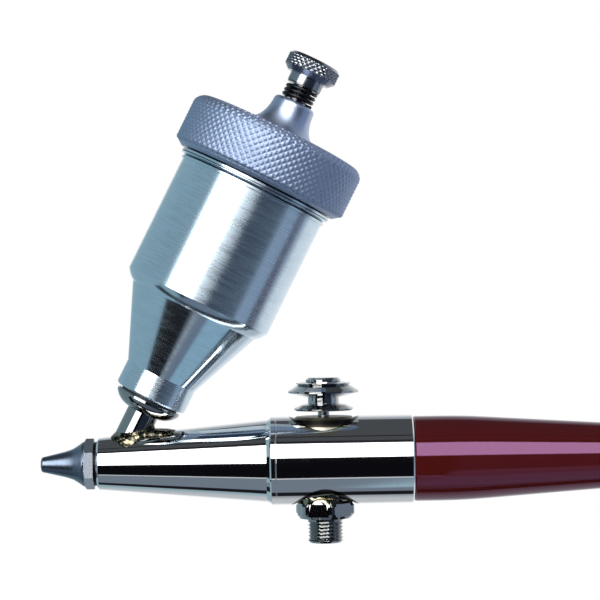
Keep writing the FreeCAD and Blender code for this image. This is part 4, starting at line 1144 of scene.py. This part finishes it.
def coil(name, node, place, turns, thicker=1.0):
    """A round wire wound about the place's axis between a CAD spring's own ends."""
    inverse = place.inverted()
    local = np.array([inverse @ vertex.co for vertex in nodes[node].data.vertices])
    reach = np.hypot(local[:, 0], local[:, 1])
    wire = (reach.max() - reach.min()) / 2 * thicker
    mean = (reach.max() + reach.min()) / 2
    low, high = local[:, 2].min() + wire, local[:, 2].max() - wire
    steps, sides = round(turns * STEPS_PER_COIL), WIRE_SIDES
    points = []
    for step in range(steps + 1):
        angle = 2 * math.pi * turns * step / steps
        out = Vector((math.cos(angle), math.sin(angle), 0))
        centre = out * mean + Vector((0, 0, low + (high - low) * step / steps))
        for side in range(sides):
            around = 2 * math.pi * side / sides
            offset = out * math.cos(around) + Vector((0, 0, math.sin(around)))
            points.append(centre + offset * wire)
    faces = [list(range(sides))[::-1], list(range(steps * sides, (steps + 1) * sides))]
    for step in range(steps):
        for side in range(sides):
            first, second = step * sides + side, step * sides + (side + 1) % sides
            faces.append([first, second, second + sides, first + sides])
    mesh = bpy.data.meshes.new(name)
    mesh.from_pydata(points, [], faces)
    made = finished(name, mesh, place, WIRE_CREASE)
    return made, place @ Vector((0, 0, low)), place @ Vector((0, 0, high))


spring_black = plain_metals["black spring steel"]
knob_coil, coil_low, coil_high = coil("knob_coil", "knob_spring", cup_place, 3, 1.1)
knob_coil.data.materials.append(spring_black)
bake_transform(knob_coil)
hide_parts("knob_spring")

valve_coil, coil_low, coil_high = coil("valve_coil", "valve_spring", valve_place, 5)
valve_coil.data.materials.append(spring_black)
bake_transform(valve_coil)
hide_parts("valve_spring")

# %% [markdown]
# ## The braze
# Braze metal runs into the joint between neck and nose and freezes in an uneven bead. The CAD
# bead is smooth, so this piece takes its volume, evens the mesh out into small faces, and moves
# each point in or out along its normal by smooth noise.

# %% Uneven braze
LUMPS = 700
BRAZE_CREASE = 70


def uneven_copy(name, node, face_size, swell):
    """A lumpy version of a CAD node."""
    rough = bpy.data.objects.new(name + "_rough", nodes[node].data.copy())
    bpy.context.scene.collection.objects.link(rough)
    remesh = rough.modifiers.new("small faces", "REMESH")
    remesh.mode = "VOXEL"
    remesh.voxel_size = face_size
    graph = bpy.context.evaluated_depsgraph_get()
    mesh = bpy.data.meshes.new_from_object(rough.evaluated_get(graph))
    bpy.data.objects.remove(rough)
    normals = [vertex.normal.copy() for vertex in mesh.vertices]
    for vertex, normal in zip(mesh.vertices, normals):
        vertex.co += normal * swell * noise.noise(vertex.co * LUMPS)
    mesh.materials.clear()
    return finished(name, mesh, Matrix.Identity(4), BRAZE_CREASE)


bead = uneven_copy("braze_bead", "neck_braze", 0.1 * MM, 0.1 * MM)
added(bead, "gun", "braze_metal", braze, "neck_braze")

# %% [markdown]
# ## Rounded nozzle tip
# A nozzle's mouth is turned round so that nothing catches on it. A new turned mesh would need the
# hex again, so this is a copy of the CAD node: only the points within the mouth's length of the
# end face are moved, out to a quarter of an ellipse between that face and the cone. The hex is
# shaded flat, because its six milled sides are plane.

# %% Rounded nozzle tip
MOUTH_LENGTH = 0.6 * MM
NOZZLE_CREASE = 16


def from_barrel_axis(point):
    """How far a point lies from the barrel's axis."""
    return math.hypot(point.y - barrel_centre.y, point.z - barrel_centre.z)


def rounded_copy(name, node):
    """A copy of the nozzle with its mouth rounded outward."""
    mesh = nodes[node].data.copy()
    tip = min(vertex.co.x for vertex in mesh.vertices)
    mouth = tip + MOUTH_LENGTH
    close = CLOSE * MM
    reach = [(vertex.co.x, from_barrel_axis(vertex.co)) for vertex in mesh.vertices]
    face = max(radius for along, radius in reach if along < tip + close)
    lip = max(radius for along, radius in reach if along < mouth + close)
    moved = 0
    for vertex in mesh.vertices:
        radius = from_barrel_axis(vertex.co)
        ahead = (mouth - vertex.co.x) / MOUTH_LENGTH
        if ahead > 0 and radius > face - close:
            grown = (face + (lip - face) * math.sqrt(max(0, 1 - ahead * ahead))) / radius
            vertex.co.y = barrel_centre.y + (vertex.co.y - barrel_centre.y) * grown
            vertex.co.z = barrel_centre.z + (vertex.co.z - barrel_centre.z) * grown
            moved += 1
    print(name, "face", round(face / MM, 3), "lip", round(lip / MM, 3), "points moved", moved)
    mesh.materials.clear()
    made = finished(name, mesh, Matrix.Identity(4), NOZZLE_CREASE)
    for polygon in made.data.polygons:
        polygon.use_smooth = polygon.center.x < hex_front
    return made


nozzle = rounded_copy("rounded_nozzle", "nozzle_cap")
added(nozzle, "gun", "nozzle_steel", nozzle_steel, "nozzle_cap")

# %% [markdown]
# ## The studio
# Mirror metal shows nothing but its surroundings, so the surroundings are the finish. They are
# built in the world: a soft white panel in front and above, dark cloths below it, grey side
# walls, a dark ceiling and a pale backdrop behind. A narrow dark gap runs across right under the
# gun. Each panel is a patch of directions with soft borders, laid over the ones before. Mesh
# cards could do the same, but they would cast shadows and show in other views. The camera itself
# sees plain white.

# %% World of panels
PANELS = [
    # name, tone, centre and half width round the horizon, lowest and highest, softness (degrees)
    ("left wall", (0.33, 0.47, 0.53), -108, 64, -90, 45, 4),
    ("right wall", (0.33, 0.40, 0.52), 88, 28, -90, 45, 4),
    ("backdrop", (0.60, 0.63, 0.67), 156, 42, -70, 40, 12),
    ("lit backdrop", (0.93, 0.95, 0.97), 156, 42, -32, 26, 8),
    ("table", (0.19, 0.23, 0.29), 0, 85, -90, -43, 2),
    ("ceiling", (0.075, 0.08, 0.088), 0, 180, 48, 95, 2),
    ("ceiling joint", (0.02, 0.02, 0.025), 0, 80, 66, 69, 1),
    ("blue floor", (0.34, 0.50, 0.60), 45, 40, -75, -46, 3),
    ("slate cloth", (0.035, 0.05, 0.085), 32, 30, -30, 11, 3),
    ("black cloth", (0.004, 0.004, 0.006), -29, 36, -43.5, 11, 1.5),
    ("cloth hem", (0.75, 0.77, 0.80), -14, 20, -46, -43.5, 0.7),
    ("black edge", (0.02, 0.02, 0.025), 0, 80, 48, 55, 1.5),
    ("white panel", (5.0, 5.0, 5.0), -11, 36, 11, 47, 1.5),
    ("white panel's foot", (5.0, 5.0, 5.0), -27, 20, -2, 12, 1.5),
]
ROOM_TONE = (0.30, 0.33, 0.37, 1.0)
GAP_UNDER = (0.04, -0.21)
GAP_SOFT = 0.02
GAP_BELOW = -0.4
GAP_TONE = (0.012, 0.013, 0.017, 1.0)


def panel_mask(tree, facing, elevation, centre, half, low, high, soft):
    """One inside a patch of directions and zero outside it."""
    toward = (math.sin(math.radians(centre)), -math.cos(math.radians(centre)), 0)
    nearness = vectors(tree, "DOT_PRODUCT", facing, toward)
    off = maths(tree, "ARCCOSINE", nearness)
    edge = math.radians(half)
    blur = math.radians(soft)
    sideways = steps_between(tree, off, edge + blur, edge - blur) if half < 180 else 1.0
    up = steps_between(tree, elevation, math.radians(low) - blur, math.radians(low) + blur)
    down = steps_between(tree, elevation, math.radians(high) + blur, math.radians(high) - blur)
    return maths(tree, "MULTIPLY", sideways, maths(tree, "MULTIPLY", up, down))


def studio_world():
    """White to the camera, and the studio's panels to everything else."""
    world = bpy.data.worlds.new("studio")
    world.use_nodes = True
    tree = world.node_tree
    tree.nodes.clear()
    direction = tree.nodes.new("ShaderNodeTexCoord").outputs["Generated"]
    apart = tree.nodes.new("ShaderNodeSeparateXYZ")
    plug(tree, direction, apart.inputs[0])
    elevation = maths(tree, "ARCSINE", apart.outputs["Z"])
    facing = vectors(tree, "NORMALIZE", vectors(tree, "MULTIPLY", direction, (1.0, 1.0, 0.0)))
    tone = ROOM_TONE
    for name, colour, centre, half, low, high, soft in PANELS:
        mask = panel_mask(tree, facing, elevation, centre, half, low, high, soft)
        tone = blended(tree, mask, tone, colour + (1.0,))
    toward_camera = maths(tree, "MULTIPLY", apart.outputs["Y"], -1.0)
    front, back = GAP_UNDER
    before = steps_between(tree, toward_camera, front + GAP_SOFT, front - GAP_SOFT)
    behind = steps_between(tree, toward_camera, back - GAP_SOFT, back + GAP_SOFT)
    below = maths(tree, "LESS_THAN", apart.outputs["Z"], GAP_BELOW)
    gap = maths(tree, "MULTIPLY", below, maths(tree, "MULTIPLY", before, behind))
    tone = blended(tree, gap, tone, GAP_TONE)
    studio = tree.nodes.new("ShaderNodeBackground")
    plug(tree, tone, studio.inputs["Color"])
    white = tree.nodes.new("ShaderNodeBackground")
    white.inputs["Color"].default_value = (1.0, 1.0, 1.0, 1.0)
    path = tree.nodes.new("ShaderNodeLightPath")
    choose = tree.nodes.new("ShaderNodeMixShader")
    plug(tree, path.outputs["Is Camera Ray"], choose.inputs[0])
    plug(tree, studio.outputs[0], choose.inputs[1])
    plug(tree, white.outputs[0], choose.inputs[2])
    out = tree.nodes.new("ShaderNodeOutputWorld")
    plug(tree, choose.outputs[0], out.inputs[0])
    bpy.context.scene.world = world
    return world


studio_world()
print("studio panels:", len(PANELS))

# %% [markdown]
# ## The floor
# The gun hangs from its air inlet, so the floor lies well below it and only takes a soft shadow.
# Toward its rim the floor fades into the white of the background, so it has no visible edge.

# %% Pale floor
FLOOR_DROP = 60 * MM
FLOOR_RADIUS = 0.34
FLOOR_FADE = (0.35, 0.95)
FLOOR_TONE = (0.86, 0.86, 0.86, 1.0)


def floor_material():
    """Pale matt paper that turns to plain white toward the rim."""
    finish = Finish("pale floor")
    tree = finish.tree
    finish.set(Base_Color=FLOOR_TONE, Roughness=0.9)
    level = vectors(tree, "MULTIPLY", place_on_piece(tree), (1.0, 1.0, 0.0))
    fade_from, fade_to = (FLOOR_RADIUS * share for share in FLOOR_FADE)
    fade = steps_between(tree, vectors(tree, "LENGTH", level), fade_from, fade_to)
    path = tree.nodes.new("ShaderNodeLightPath")
    seen = maths(tree, "MAXIMUM", path.outputs["Is Camera Ray"], path.outputs["Is Glossy Ray"])
    seen = maths(tree, "MAXIMUM", seen, path.outputs["Is Transmission Ray"])
    glow = tree.nodes.new("ShaderNodeEmission")
    choose = tree.nodes.new("ShaderNodeMixShader")
    plug(tree, maths(tree, "MULTIPLY", fade, seen), choose.inputs[0])
    plug(tree, finish.shader.outputs[0], choose.inputs[1])
    plug(tree, glow.outputs[0], choose.inputs[2])
    plug(tree, choose.outputs[0], tree.nodes["Material Output"].inputs["Surface"])
    return finish.material


floor_mesh = bpy.data.meshes.new("floor")
disc = bmesh.new()
bmesh.ops.create_circle(disc, cap_ends=True, segments=96, radius=FLOOR_RADIUS)
disc.to_mesh(floor_mesh)
disc.free()
floor_mesh.transform(Matrix.Translation((0, 0, cad_box[0].z - FLOOR_DROP)))
floor_mesh.materials.append(floor_material())
floor = bpy.data.objects.new("floor", floor_mesh)
bpy.context.scene.collection.objects.link(floor)
floor.visible_glossy = False
print("floor lies", round(FLOOR_DROP / MM), "mm under the gun and is", FLOOR_RADIUS * 2, "m across")

# %% [markdown]
# ## The camera
# The gun is seen square from the side, level with the middle of the cup, from an arm's length
# away with a long lens. The gun is tipped by about one degree in this view, so the camera rolls.

# %% Camera
CAMERA_AWAY = 0.400
CAMERA_LENS = 133.0
CAMERA_ROLL = -0.98
CAMERA_AIM = Vector((-3.91, 0, 43.74)) * MM
camera_data = bpy.data.cameras.new("camera")
camera_data.sensor_width = 36.0
camera_data.lens = CAMERA_LENS
camera = bpy.data.objects.new("camera", camera_data)
bpy.context.scene.collection.objects.link(camera)
upright = Matrix.Rotation(math.radians(90), 4, "X")
roll = Matrix.Rotation(math.radians(CAMERA_ROLL), 4, "Z")
camera.matrix_world = Matrix.Translation(CAMERA_AIM - Vector((0, CAMERA_AWAY, 0))) @ upright @ roll
bpy.context.scene.camera = camera
bpy.context.scene.view_settings.view_transform = "Standard"
print("camera at", [round(value, 4) for value in camera.location])
